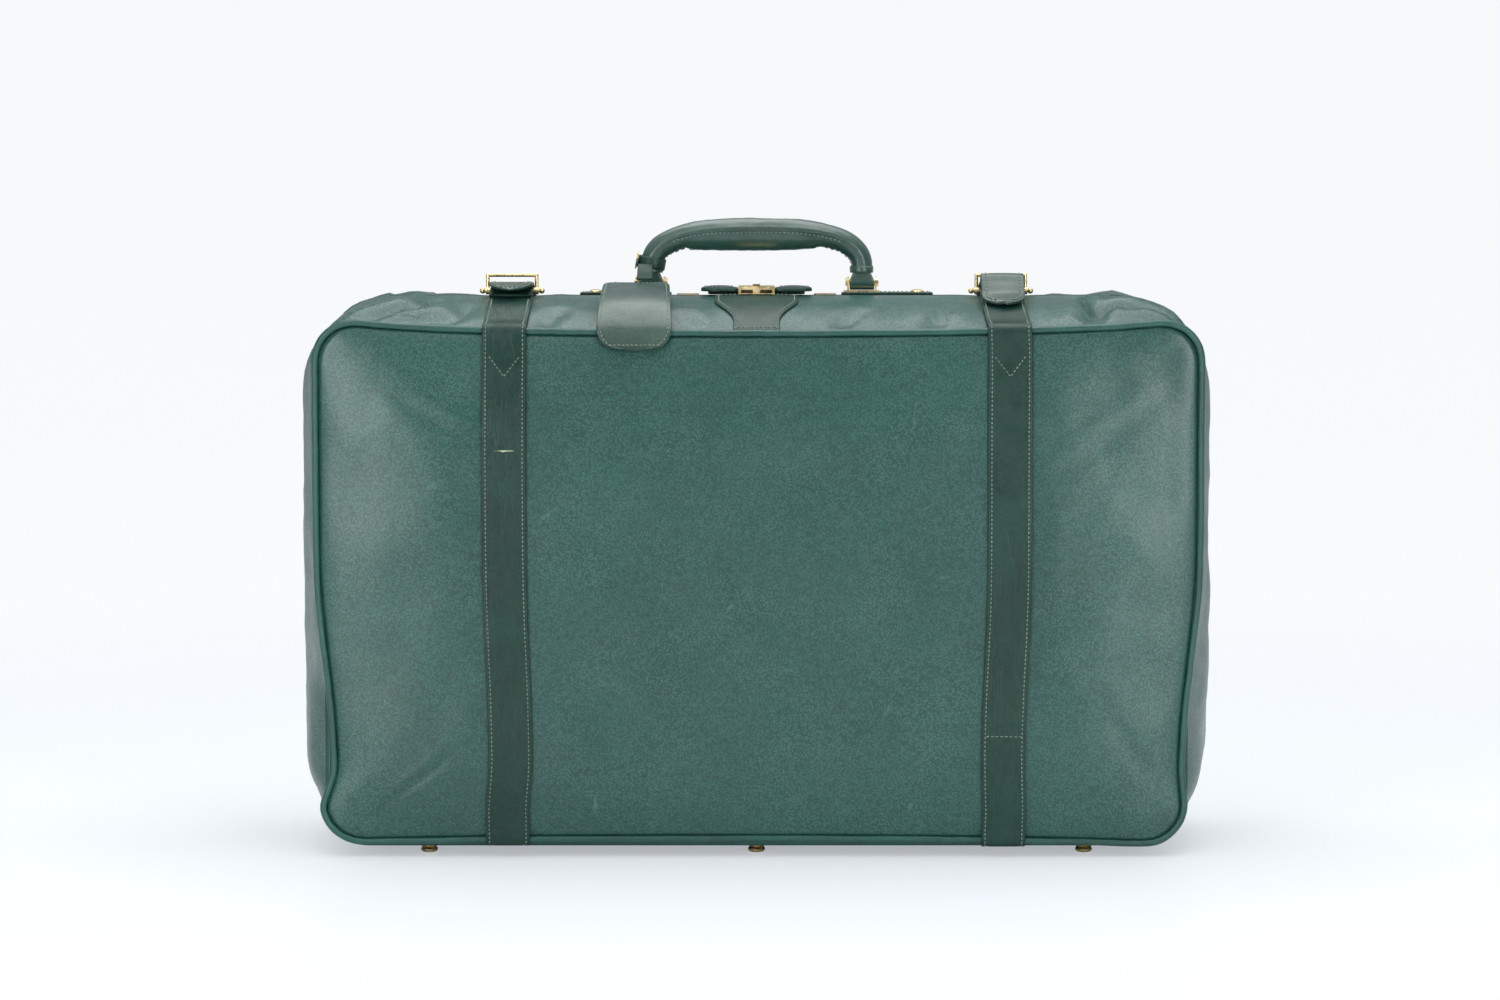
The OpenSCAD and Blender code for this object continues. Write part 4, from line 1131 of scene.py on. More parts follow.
class CASE_OT_straps(bpy.types.Operator):
    """Makes both straps with their stitching, buckle eyes and loose tips"""
    bl_idname = "travel_case.straps"
    bl_label = "Straps"

    def execute(self, context):
        for name, x in (("left", -STRAP_X), ("right", STRAP_X)):
            seed = 31 + x * 40
            self.front(name, x, strap_wobble(seed))
            self.rear(name, x, strap_wobble(seed + 5))
            self.tip(name, x, name == "right")
        return {"FINISHED"}

    def front(self, name, x, bend):
        """The part on the front half, up to its eye round the buckle's bar, with a sewn V under its top."""
        turn, mid = 0.0026, BUCKLE_Z
        eye = [(0.030, top_out(0.030) + STRAP_RISE), (0.023, mid - 0.0036), (0.0165, mid - 0.0034)]
        eye += [(BUCKLE_Y + turn * sin(radians(t)), mid - turn * cos(radians(t))) for t in range(0, -181, -30)]
        eye += [(0.0165, mid + 0.0014), (0.024, mid - 0.0007), (0.034, top_out(0.034) + STRAP_RISE + 0.0024)]
        path = strap_path(x, -1, lifted(strap_surface(0.036), STRAP_RISE) + eye)
        make(f"front_strap_band_{name}", *band_mesh(path, STRAP_W, 0.0021, 0.0008, -ACROSS, bend), finish_strap(),
             "front_half", [f"front_strap_{name}"], "trim_leather")
        shown = [p for p in path if p.y < -0.008 and (p.y < -0.040 or p.z < 0.2)]
        rows = edge_rows(shown, front_out, 0.00105, bend)

        def across_band(points):
            return [flared((x + u, -HALF_D - CROWN * crown(STRAP_X, z) - STRAP_T, z)) for u, z in points], False

        v_z = PANEL_Z1 - 0.0315
        rows.append(across_band([(u * 0.0105, v_z + abs(u) * 0.0140) for u in (-1, -0.5, 0, 0.5, 1)]))
        if name == "right":
            rows.append(across_band([(u * 0.0125, 0.091) for u in (-1, 0, 1)]))
        sewn(f"front_strap_thread_{name}", rows, "front_half", front_out)

    def rear(self, name, x, bend):
        """The part on the rear half, which ends over the buckle."""
        over = [(0.018, top_out(0.018) + STRAP_RISE), (0.0105, PASS_Z - 0.0026), (0.004, PASS_Z - 0.0002),
                (-0.003, PASS_Z + STRAP_T / 2), (-0.0143, PASS_Z + STRAP_T / 2 + 0.0003)]
        path = strap_path(x, 1, lifted(strap_surface(0.026), STRAP_RISE) + over)
        make(f"rear_strap_band_{name}", *band_mesh(path, STRAP_W, STRAP_T, 0.0009, ACROSS, bend), finish_strap(),
             "rear_half", [f"rear_strap_{name}"], "trim_leather")
        shown = [p for p in path if p.y > 0.008 or p.z > 0.2]
        sewn(f"rear_strap_thread_{name}", edge_rows(shown, rear_out, STRAP_T / 2, bend), "rear_half", rear_out)

    def tip(self, name, x, bowed):
        """The strap's end in front of its buckle: straight on the left, bowed up and down on the right."""
        top = PASS_Z + STRAP_T / 2
        path = resample(rounded([Vector((x, -y, top + h)) for y, h in (TIP_BOWED if bowed else TIP_STRAIGHT)], 3),
                        0.0011)
        length, r = sum((b - a).length for a, b in zip(path, path[1:])), STRAP_W / 2
        base = strap_section(STRAP_W, STRAP_T, 0.0009, 12)

        def share(i):
            """Share of the full width at point i, which ends in a round."""
            left = length * (1 - i / (len(path) - 1))
            return (1 - (1 - min(1, left / (r * 0.92))) ** 2.2) ** 0.5

        def sag(i, u):
            """How far the tip's form lifts it at point i and a distance from its middle."""
            t = i / (len(path) - 1)
            cup = (-0.0014 if bowed else 0.0006) * (u / r) ** 2 * t
            return cup - (0.0009 * exp(-((t - 0.45) / 0.07) ** 2) * cos(u / r * 1.3) if bowed else 0)

        def section(i, t):
            k, up, ring = share(i), rear_out(path[i], tangent(path, i)), []
            for u, v in base:
                lift = v * (0.55 + 0.45 * k) + sag(i, u) - pressed_line(r * k - abs(u * k), v, 0.0036)
                ring.append(path[i] - ACROSS * (u * max(0.10, k)) + up * lift)
            return ring

        def stitch(i, s):
            u = s * max(0.0008, r * share(i) - 0.0038)
            up = rear_out(path[i], tangent(path, i))
            return path[i] + ACROSS * u + up * (STRAP_T / 2 + sag(i, u) + 0.0001)

        def thread_up(p, d):
            return Vector((0, -0.8, 0.8)) if bowed and -0.047 < p.y < -0.031 else Vector((0, -0.25, 1))

        make(f"strap_tip_band_{name}", *sweep(path, section), finish_tag(), f"tip_{name}", [f"strap_tip_{name}"],
             "trim_leather")
        row = sewn_loop(stitch, range(2, len(path) - 4))
        sewn(f"strap_tip_thread_{name}", [(row, False)], f"tip_{name}", thread_up)


# Lock leathers

SLAB_RINGS = (1.0, 0.985, 0.96, 0.92, 0.8, 0.6, 0.35, 0.1)


def slab_mesh(shape_pts, top_of, thick, rings=SLAB_RINGS, groove=None):
    """A cut piece of leather over a closed plan, with a height for each point, a thickness and rolled edges."""
    n = len(shape_pts)
    cx, cy = sum(p[0] for p in shape_pts) / n, sum(p[1] for p in shape_pts) / n

    def row(s, under):
        out = []
        for px, py in shape_pts:
            x, y = cx + (px - cx) * s, cy + (py - cy) * s
            z = top_of(x, y)
            drop = 0.0006 if s == 1.0 else (0.00015 if s > 0.98 else 0.0)
            if groove and not under:
                edge = hypot(px - x, py - y)
                drop += 0.00025 * exp(-((edge - groove) / 0.0008) ** 2)
            out.append(Vector((x, y, z + drop * 0.6)) if under else Vector((x, y, z + thick - drop)))
        return out

    return stacked([row(s, True) for s in reversed(rings)] + [row(s, False) for s in rings])


def pill(cx, cy, a, b, r, count=9):
    """Plan of a rounded rectangle about a point, counter-clockwise, evenly dense."""
    pts = []
    for sx, sy, start in ((1, 1, 0), (-1, 1, 90), (-1, -1, 180), (1, -1, 270)):
        for k in range(count):
            t = radians(start + 90 * k / (count - 1))
            pts.append(Vector((cx + sx * (a - r) + r * cos(t), cy + sy * (b - r) + r * sin(t), 0)))
    return [(p.x, p.y) for p in resample(pts, 0.0018, True)]


def keystone():
    """Plan of the patch under the lock, as (x, y): broad at the lock, its sides curved like an S."""
    end_y = GUSSET_Y - 0.0035
    span = end_y - PATCH_Y
    mid, swing = (PATCH_W + PATCH_FOOT_W) / 4, (PATCH_W - PATCH_FOOT_W) / 4
    right = [(PATCH_W / 2, -PATCH_Y), (PATCH_W / 2, -PATCH_Y - 0.2 * span)]
    right += [(mid + swing * cos(pi * k / 10), -PATCH_Y - span * (0.34 + 0.50 * k / 10))
              for k in range(11)]
    right += [(PATCH_FOOT_W / 2, -PATCH_Y - 0.9 * span), (PATCH_FOOT_W / 2, -end_y)]
    left = [(-x, y) for x, y in reversed(right)]
    smooth = rounded([Vector((x, y, 0)) for x, y in left + right])
    return [(p.x, p.y) for p in resample(smooth, 0.002, True)]


def shrunk(points, inset):
    """A closed plan moved inwards by an inset."""
    n, out = len(points), []
    area = sum(points[i][0] * points[(i + 1) % n][1] - points[(i + 1) % n][0] * points[i][1] for i in range(n))
    s = 1 if area > 0 else -1
    for i in range(n):
        a, b = points[i - 1], points[(i + 1) % n]
        dx, dy = b[0] - a[0], b[1] - a[1]
        d = hypot(dx, dy) or 1.0
        out.append((points[i][0] - s * inset * dy / d, points[i][1] + s * inset * dx / d))
    return out


def upwards(p, d):
    """Outward direction of the stitches on top of the case."""
    return UP


def on_gusset(x, y):
    """Height of a leather's underside where it lies on the case's top."""
    return top_out(y) + GAP


WING_X, WING_HALF = (SADDLE_L + LOCK_L) / 4, (SADDLE_L - LOCK_L) / 4
# Section of the narrow rail that joins the saddle's wings behind the lock
RAIL = ((-0.0016, 0.0), (0.0013, 0.0), (0.0016, 0.0004), (0.0016, 0.0016), (0.0010, 0.0020), (-0.0012, 0.0020),
        (-0.0016, 0.0016))


class CASE_OT_lock_leathers(bpy.types.Operator):
    """Makes the saddle over the zip and the keystone patch, both stitched round their edges"""
    bl_idname = "travel_case.lock_leathers"
    bl_label = "Lock leathers"

    def execute(self, context):
        self.patch()
        self.saddle()
        return {"FINISHED"}

    def patch(self):
        """The keystone patch on the front half, under the lock."""
        plan = keystone()
        verts, faces = slab_mesh(plan, on_gusset, PATCH_T, groove=0.003)
        make("lock_patch_keystone", [flared(v) for v in verts], faces, finish_strap(), "front_half",
             ["lock_patch"], "trim_leather")
        row = [flared((x, y, on_gusset(x, y) + PATCH_T)) for x, y in shrunk(plan, 0.0030)]
        sewn("lock_patch_thread", [(row, True)], "front_half", upwards)

    def saddle(self):
        """Two padded wings beside the lock, the rail that joins them and the flap under them."""
        verts, faces, rows = [], [], []
        for s in (-1, 1):
            wing = pill(s * WING_X, 0, WING_HALF - 0.0002, SADDLE_W / 2, 0.0088)
            inner = s * (LOCK_L / 2 + 0.0002)
            wing = [(x if abs(x) > LOCK_L / 2 + 0.009 or abs(y) < 0.001 else inner + (x - inner) * 0.30, y)
                    for x, y in wing]
            v, f = slab_mesh(wing, lambda x, y: SADDLE_Z, SADDLE_T, groove=0.0028)
            v = [p + UP * (self.padding(p) if p.z > SADDLE_Z + 0.0008 else 0) for p in v]
            join(verts, faces, (v, f))
            edge = pill(s * WING_X, 0, WING_HALF - 0.003, SADDLE_W / 2 - 0.0028, 0.0066)
            keep = [Vector((x, y, SADDLE_Z + SADDLE_T)) for x, y in edge if abs(x) > LOCK_L / 2 + 0.004]
            start = max(range(len(keep)), key=lambda k: (keep[k] - keep[k - 1]).length)
            rows.append(([p + UP * self.padding(p) for p in keep[start:] + keep[:start]], False))
        rail = [Vector((x, 0, 0)) for x in (-0.0165, -0.008, 0.0, 0.008, 0.0165)]
        join(verts, faces, sweep(rail, lambda i, t: [Vector((rail[i].x, 0.0118 + u, SADDLE_Z + v))
                                                     for u, v in RAIL]))
        flap = pill(0, 0.0100, 0.0375, 0.0034, 0.003)
        join(verts, faces, slab_mesh(flap, on_gusset, SADDLE_Z - on_gusset(0, 0.010), rings=(1.0, 0.96, 0.8, 0.4)))
        make("lock_saddle_leather", verts, faces, finish_strap(), "rear_half", ["lock_saddle"], "trim_leather")
        sewn("lock_saddle_thread", rows, "rear_half", upwards)

    def padding(self, p):
        """How far a wing's padding lifts it at a point."""
        along = abs(abs(p.x) - WING_X) / WING_HALF
        return 0.0024 * max(0.0, 1 - along ** 2) ** 0.6 * max(0.0, 1 - (2 * p.y / SADDLE_W) ** 2) ** 0.5


# Handle

def arch_point(t):
    """Point of the grip's middle line, a flattened arch, at an angle from its right foot."""
    c, s = cos(t), sin(t)
    return Vector((HANDLE_X * copysign(abs(c) ** (2 / ARCH_N), c), HANDLE_Y,
                   ARCH_Z + ARCH_H * abs(s) ** (2 / ARCH_N)))


GRIP_STEP = 0.0026
# Section of the stitched collar at the grip's ends
COLLAR = ((0.0006, -0.0026), (0.0009, -0.0018), (0.0009, 0.0018), (0.0005, 0.0027), (-0.0006, 0.0027),
          (-0.0009, 0.0), (-0.0006, -0.0026))
# The handle bases' rows: share of the plan and share of the height
BASE_ROWS = ((1.0, 0.0), (1.0, 0.35), (1.0, 0.75), (0.992, 0.97), (0.975, 1.0), (0.93, 1.0), (0.80, 1.0),
             (0.5, 1.0), (0.1, 1.0))


class CASE_OT_handle(bpy.types.Operator):
    """Makes the padded handle with its ridge, its ends round the pins and its leather bases"""
    bl_idname = "travel_case.handle"
    bl_label = "Handle"

    def execute(self, context):
        self.grip()
        for name, s in (("left", -1), ("right", 1)):
            self.end(name, s)
            self.base(name, s)
        return {"FINISHED"}

    def grip(self):
        """The padded grip: a ridge round its top, a belly under it and gathers where it bends down."""
        path = resample([arch_point(pi * k / 240) for k in range(241)], GRIP_STEP)
        n = len(path)

        def section(i, t):
            p = path[i]
            d = tangent(path, i)
            d.y = 0
            out = Vector((-d.z, 0, d.x)).normalized()
            out = -out if out.z < -0.2 or (abs(out.z) <= 0.2 and out.x * p.x < 0) else out
            arc = sin(pi * t) ** 0.5 if 0 < t < 1 else 0
            r = LEG_R + (GRIP_R - LEG_R) * arc
            belly = r + BELLY * max(0.0, 1 - ((p.x + 0.003) / 0.0525) ** 2) ** 0.45
            bend = exp(-((abs(p.x) - 0.066) / 0.015) ** 2)
            ring = []
            for k in range(32):
                w = 2 * pi * k / 32
                u, v = sin(w), cos(w)
                size = r if u > 0 else belly
                lift = 0.00045 * lump(p.x, u * 0.02, v * 0.02 + p.z, 0.012, 4) \
                    + 0.00030 * lump(p.x, u * 0.02, v * 0.02, 0.005, 9)
                if u < 0.2:
                    wave = sin(2 * pi * (t * n * GRIP_STEP) / (2 * GRIP_STEP) + 2.2 * lump(p.x, v, 0, 0.02, 2))
                    lift += 0.0010 * bend * wave * (0.2 - u)
                lift += 0.0013 * exp(-((u - 0.16) / 0.11) ** 2) * arc * min(1, 3 * abs(v))
                lift -= 0.0009 * exp(-((u + 0.12) / 0.10) ** 2) * arc
                ring.append(p + out * (size * u + lift * u) + Vector((0, (r + lift) * v, 0)))
            return ring

        piece = make("handle_grip_padded", *sweep(path, section), finish_handle(), "handle", ["handle_grip"],
                     "trim_leather")
        face_outwards(piece)
        rows = [([p + Vector((0, side * (GRIP_R - 0.0005), -0.0012)) for p in path[6:-6] if abs(p.x) < 0.064],
                 False) for side in (-1, 1)]
        sewn("handle_thread", rows, "handle", lambda p, d: Vector((0, copysign(1, p.y - HANDLE_Y), 0)))

    def end(self, name, s):
        """The handle's end: leather that goes round the pin and up into the grip, with a stitched collar."""
        cx, y, z, r = s * HANDLE_X, HANDLE_Y, PIVOT_Z, 0.0052
        pts = [(-r, NECK_TOP - z + 0.0006), (-0.0054, 0.003)]
        pts += [(-r * cos(radians(t)), -r * sin(radians(t))) for t in range(0, 181, 18)]
        pts += [(0.0054, 0.003), (r, NECK_TOP - z + 0.0006)]
        path = resample(rounded([Vector((cx, y + a, z + b)) for a, b in pts]), 0.0012)

        def section(i, t):
            low = 1 - smoothstep(0.0, 0.0078, path[i].z - PIVOT_Z)
            half = 0.0070 + 0.0025 * low
            up = ACROSS.cross(tangent(path, i)).normalized()
            return [path[i] + Vector((u * half / 0.0095, 0, 0)) + up * v for u, v in
                    strap_section(0.019, 0.0020, 0.0008, 8)]

        verts, faces = sweep(path, section)
        middle = Vector((cx - s * 0.0003, y, NECK_TOP + 0.0022))
        ring = [middle + Vector((cos(a), sin(a), 0)) * 0.0083 for a in (2 * pi * k / 40 for k in range(40))]

        def collar(i, t):
            out = (ring[i] - middle).normalized()
            return [ring[i] + out * u + UP * v for u, v in COLLAR]

        join(verts, faces, sweep(ring, collar, closed=True))
        piece = make(f"handle_end_wrap_{name}", verts, faces, finish_handle(), "handle", [f"handle_end_{name}"],
                     "trim_leather")
        face_outwards(piece)

    def base(self, name, s):
        """The leather base on the gusset, which carries the bracket and ends under a stud."""
        cx = s * (BASE_X0 + BASE_L / 2)
        plan = pill(cx, HANDLE_Y, BASE_L / 2, BASE_HALF, 0.0052)
        rows = []
        for k, lift in BASE_ROWS:
            row = []
            for px, py in plan:
                x, y = cx + (px - cx) * k, HANDLE_Y + (py - HANDLE_Y) * k
                edge = hypot(px - x, py - y)
                groove = 0.00022 * exp(-((edge - 0.0019) / 0.0007) ** 2) if lift == 1.0 else 0
                low = on_gusset(x, y)
                row.append(Vector((x, y, low + (BASE_TOP - low) * lift - groove)))
            rows.append(row)
        make(f"handle_base_leather_{name}", *stacked(rows), finish_strap(), "rear_half", [f"handle_base_{name}"],
             "trim_leather")
        row = [Vector((x, y, BASE_TOP)) for x, y in shrunk(plan, 0.0022)]
        sewn(f"handle_base_thread_{name}", [(row, True)], "rear_half", upwards)


# Luggage tag

def tag_line():
    """Path (y, z) under the stiff tag from its lower end over the piping to its raised top."""
    top = PANEL_Z1 + CORD_OFF + CORD_R
    return [(0.1060, TAG_LOW), (0.1035, TAG_LOW + 0.0060), (0.1005, PANEL_Z1 + 0.0005), (0.0968, top + 0.0005),
            (0.0915, top + 0.0055), (0.0830, top + 0.0115), (0.0720, top + 0.0170), (0.0590, top + 0.0215),
            (0.0440, top + 0.0252), (0.0310, top + 0.0278), (0.0215, TAG_TOP + 0.0030)]


def tag_width(t, length):
    """Half the tag's width at the share t of its length: broad and round below, slimmer and round at its top."""
    a, low, high = TAG_W / 2 - 0.0038 * t, 0.019, 0.008
    at, left = t * length, (1 - t) * length
    if at < low:
        return a - low + low * (1 - (1 - at / low) ** 2.3) ** 0.5
    if left < high:
        return a - high + high * (1 - (1 - left / high) ** 2) ** 0.5
    return a


def tag_curl(k, t, bow):
    """How far the tag's sides curl up, and its middle bows, at a share of its half width and of its length."""
    return 0.0010 * (k ** 2) * (0.4 + 0.6 * smoothstep(0.5, 0.0, t)) + bow * (1 - k * k) * sin(pi * t)


TAG_BOW = 0.0012
TONGUE_X = -0.086
# Sections of the loop's ring and of its tail
LOOP = ((0.0010, -0.0036), (0.0010, 0.0036), (0.0006, 0.0044), (-0.0006, 0.0044), (-0.0010, 0.0036),
        (-0.0010, -0.0036), (-0.0006, -0.0044), (0.0006, -0.0044))
LOOP_TAIL = ((0.0008, 0.003), (-0.0006, 0.0034), (-0.0009, 0.003), (-0.0009, -0.003), (-0.0006, -0.0034),
             (0.0008, -0.003))


class CASE_OT_tag(bpy.types.Operator):
    """Makes the luggage tag: two stitched leaves with a card between them, its tongue and its strap loop"""
    bl_idname = "travel_case.tag"
    bl_label = "Luggage tag"

    def execute(self, context):
        path = resample(rounded([Vector((-TAG_X, -y, z)) for y, z in tag_line()]), 0.0016)
        length = sum((b - a).length for a, b in zip(path, path[1:]))
        low = -GAP - 2 * TAG_T
        top = low + 2 * TAG_T
        mid = low + TAG_T
        for name, node, heights, finish_used, slot in (
                ("tag_leaf_back", "tag_back", (low, mid - 0.0002), finish_tag(), "trim_leather"),
                ("tag_paper", "tag_card", (mid - 0.0001, mid + 0.0001, 0.0012), finish_card(), "card"),
                ("tag_leaf_front", "tag_front", (mid + 0.0002, top, 0.0, TAG_BOW), finish_tag(), "trim_leather")):
            piece = make(name, *self.leaf(path, length, *heights), finish_used, "tag", [node], slot)
            face_outwards(piece)
            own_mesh(piece)

        def stitch(i, s):
            t = i / (len(path) - 1)
            u = s * max(0.001, tag_width(t, length) - 0.0028)
            curl = tag_curl(u / tag_width(t, length), t, TAG_BOW)
            return path[i] + ACROSS * u + front_out(path[i], tangent(path, i)) * (top + curl - 0.0001)

        def thread_up(p, d):
            return Vector((0, -1, (p.y + 0.107) * 30)).normalized()

        thread = sewn("tag_thread", [(sewn_loop(stitch, range(2, len(path) - 2)), True)], "tag", thread_up)
        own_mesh(thread)
        self.loop()
        self.tongue()
        return {"FINISHED"}

    def leaf(self, path, length, low, high, inset=0.0, bow=0.0):
        """One leaf between two heights over the tag's line. Those of leather have a pressed edge."""
        mid, thick = (low + high) / 2, high - low
        prof = strap_section(TAG_W, thick, min(0.0008, thick / 2), 16)

        def section(i, t):
            up = front_out(path[i], tangent(path, i))
            half = max(0.002, tag_width(t, length) - inset)
            ring = []
            for u, v in prof:
                k = u / (TAG_W / 2)
                lift = v + 0.00035 * lump(path[i].x + u, path[i].y, path[i].z, 0.02, 5) * (1 - k * k)
                if v > 0 and not inset:
                    lift -= 0.0005 * exp(-((half - abs(half * k) - 0.0029) / 0.0010) ** 2)
                ring.append(path[i] - ACROSS * (half * k) + up * (mid + lift + tag_curl(k, t, bow)))
            return ring
        return sweep(path, section)

    def loop(self):
        """The narrow strap round the handle's left leg."""
        low, high = (HANDLE_X * (1 - ((z - ARCH_Z) / ARCH_H) ** ARCH_N) ** (1 / ARCH_N)
                     for z in (LOOP_Z, LOOP_Z + LOOP_H))
        turn, r = Matrix.Rotation(atan2(low - high, LOOP_H), 3, "Y"), LOOP_R + 0.001
        centre = Vector((-(low + high) / 2 - 0.00025, HANDLE_Y, LOOP_Z + LOOP_H / 2))
        path = [Vector((r * cos(a), r * sin(a), 0)) for a in (2 * pi * k / 48 for k in range(48))]
        verts, faces = sweep(path, lambda i, t: [path[i] * (1 + u / r) + UP * v for u, v in LOOP], closed=True)
        tail = [Vector((-r - 0.0012, y, -0.0016)) for y in (-0.009, -0.003, 0.003, 0.010, 0.015)]
        tail[-1].z -= 0.002
        join(verts, faces, sweep(tail, lambda i, t: [tail[i] + Vector((u, 0, w * (1.0 if t < 0.9 else 0.5)))
                                                     for u, w in LOOP_TAIL]))
        piece = make("tag_strap_leather", [turn @ p + centre for p in verts], faces, finish_strap(), "handle",
                     ["tag_strap_loop"], "trim_leather")
        face_outwards(piece)

    def tongue(self):
        """The tag's tongue, from the tag's top up to the loop."""
        pts = [(-0.0195, TAG_TOP + 0.0054), (-0.0120, TAG_TOP + 0.0070), (-0.0040, LOOP_Z - 0.0028),
               (0.0040, LOOP_Z + 0.0002), (0.0122, LOOP_Z + 0.0034)]
        path = resample(rounded([Vector((TONGUE_X, y, z)) for y, z in pts], 3), 0.001)
        piece = make("tag_tongue_leather", *band_mesh(path, 0.012, 0.0019, 0.0007, -ACROSS), finish_strap(), None,
                     ["tag_tongue"], "trim_leather")
        face_outwards(piece)
        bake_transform(piece)


# Zip and hinge

def zip_line(y, lift):
    """Path of the zip from its foot on the right over the top to its foot on the left."""
    a, z1 = side_out(TAPE_W) - LEATHER - TAPE_CLEAR + lift, TAPE_TOP + lift
    r, foot = corner_r(TAPE_W) - LEATHER + lift, 0.0545
    cz = PANEL_Z0 + LEATHER + r - lift
    first = asin(min(1.0, (cz - foot) / r))
    right = [Vector((a - r + r * cos(t), y, cz - r * sin(t))) for t in (first * (1 - k / 8) for k in range(9))]
    right += [Vector((a - r + r * sin(t), y, z1 - r + r * cos(t)))
              for t in (pi / 2 * (1 - k / 14) for k in range(15))]
    return right + [Vector((-p.x, p.y, p.z)) for p in reversed(right)]


def zip_out(p, d):
    """Direction away from the case's middle at a point of the zip."""
    out = (-d.cross(Vector((0, 1, 0)))).normalized()
    return out if out.dot(p - Vector((0, 0, 0.25))) > 0 else -out


# Section of the tape, and sections of a tooth: place across the zip, share of its width, low and high side
TAPE = ((-0.0079, -0.0004), (-0.004, -0.0004), (0.0, -0.0004), (0.004, -0.0004), (0.0079, -0.0004),
        (0.0079, 0.0004), (0.004, 0.0003), (0.0, 0.0004), (-0.004, 0.0003), (-0.0079, 0.0004))
TOOTH = ((-0.0012, 0.85, -0.0007, 0.0007), (0.0002, 1.0, -0.0009, 0.0009), (0.0014, 0.75, -0.0009, 0.0009))
HINGE_Z = 0.0113


class CASE_OT_zip(bpy.types.Operator):
    """Makes the zip's woven tapes and its separate teeth, and the leather hinge along the bottom"""
    bl_idname = "travel_case.zip"
    bl_label = "Zip and hinge"

    def execute(self, context):
        pitch = context.scene.case_shape.tooth
        for name, side in (("front", -1), ("rear", 1)):
            path = resample(zip_line(side * 0.0081, -0.0004), 0.006)

            def section(i, t):
                out = zip_out(path[i], tangent(path, i))
                return [path[i] + Vector((0, y, 0)) + out * v for y, v in TAPE]

            tape = make(f"{name}_zip_tape_woven", *sweep(path, section),
                        cloth("zip_tape_cotton", (0.030, 0.060, 0.048), 3600.0), f"{name}_half",
                        [f"{name}_zip_tape"], "zip_tape")
            face_outwards(tape)
            teeth = resample(zip_line(side * 0.0016, 0.0011), pitch)
            verts, faces = [], []
            for i, p in enumerate(teeth):
                d = tangent(teeth, i)
                if side > 0:
                    p = p + d * (pitch / 2)
                self.tooth(verts, faces, p, d, side, pitch)
            row = make(f"{name}_zip_teeth_row", verts, faces, finish_brass(), f"{name}_half",
                       [f"{name}_zip_teeth"], "brass", smooth=False)
            face_outwards(row)
        self.hinge()
        return {"FINISHED"}

    def tooth(self, verts, faces, p, d, side, pitch):
        """Adds one tooth at a point of the zip, narrow at both ends."""
        start, half, out = len(verts), pitch * 0.235, zip_out(p, d)
        for across, narrow, low, high in TOOTH:
            for a, b in ((-1, low), (1, low), (1, high), (-1, high)):
                verts.append(p + Vector((0, side * across, 0)) + d * (a * half * narrow) + out * b)
        faces += lattice(3, 4, start)
        faces += [(start + 3, start + 2, start + 1, start), (start + 8, start + 9, start + 10, start + 11)]

    def hinge(self):
        """The leather hinge, one limp strip over both halves' bottoms inside."""
        half = side_out(TAPE_W) - corner_r(TAPE_W) - 0.002
        path = [Vector((half * (k / 30 - 1), 0, 0)) for k in range(61)]

        def section(i, t):
            x = path[i].x
            return [Vector((x, u, HINGE_Z + v + 0.0006 * exp(-(u / 0.004) ** 2) + 0.0002 * lump(x, u, 0, 0.02)))
                    for u, v in strap_section(0.0356, 0.0012, 0.0005, 14)]

        hinge = make("hinge_strip_leather", *sweep(path, section), finish_strap(), None,
                     ["front_hinge_strip", "rear_hinge_strip"], "trim_leather")
        face_outwards(hinge)
        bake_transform(hinge)


# Fittings and hidden parts

# Nodes of the frame that keep their solids, with the function that makes their finish
FITTINGS = (
    (finish_brass, ("rear_feet", "front_feet", "buckle_bar_left", "buckle_bar_right", "buckle_frame_left",
                    "buckle_frame_right", "zip_slider_left", "zip_slider_right", "zip_pull_left", "zip_pull_right",
                    "lock_slide", "handle_bracket_left", "handle_bracket_right", "handle_pin_left",
                    "handle_pin_right", "base_studs", "tag_buckle")),
    (finish_lock, ("lock_case", "lock_catch")),
    (finish_steel, ("rear_frame", "front_frame", "handle_core")),
    (finish_board, ("rear_board", "front_board")),
)


class CASE_OT_fittings(bpy.types.Operator):
    """Gives the brass and steel fittings and the boards of the frame their finishes"""
    bl_idname = "travel_case.fittings"
    bl_label = "Fittings"

    def execute(self, context):
        for finish_of, names in FITTINGS:
            for name in names:
                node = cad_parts[name]
                node.data.materials.clear()
                node.data.materials.append(finish_of())
        return {"FINISHED"}


# Stage

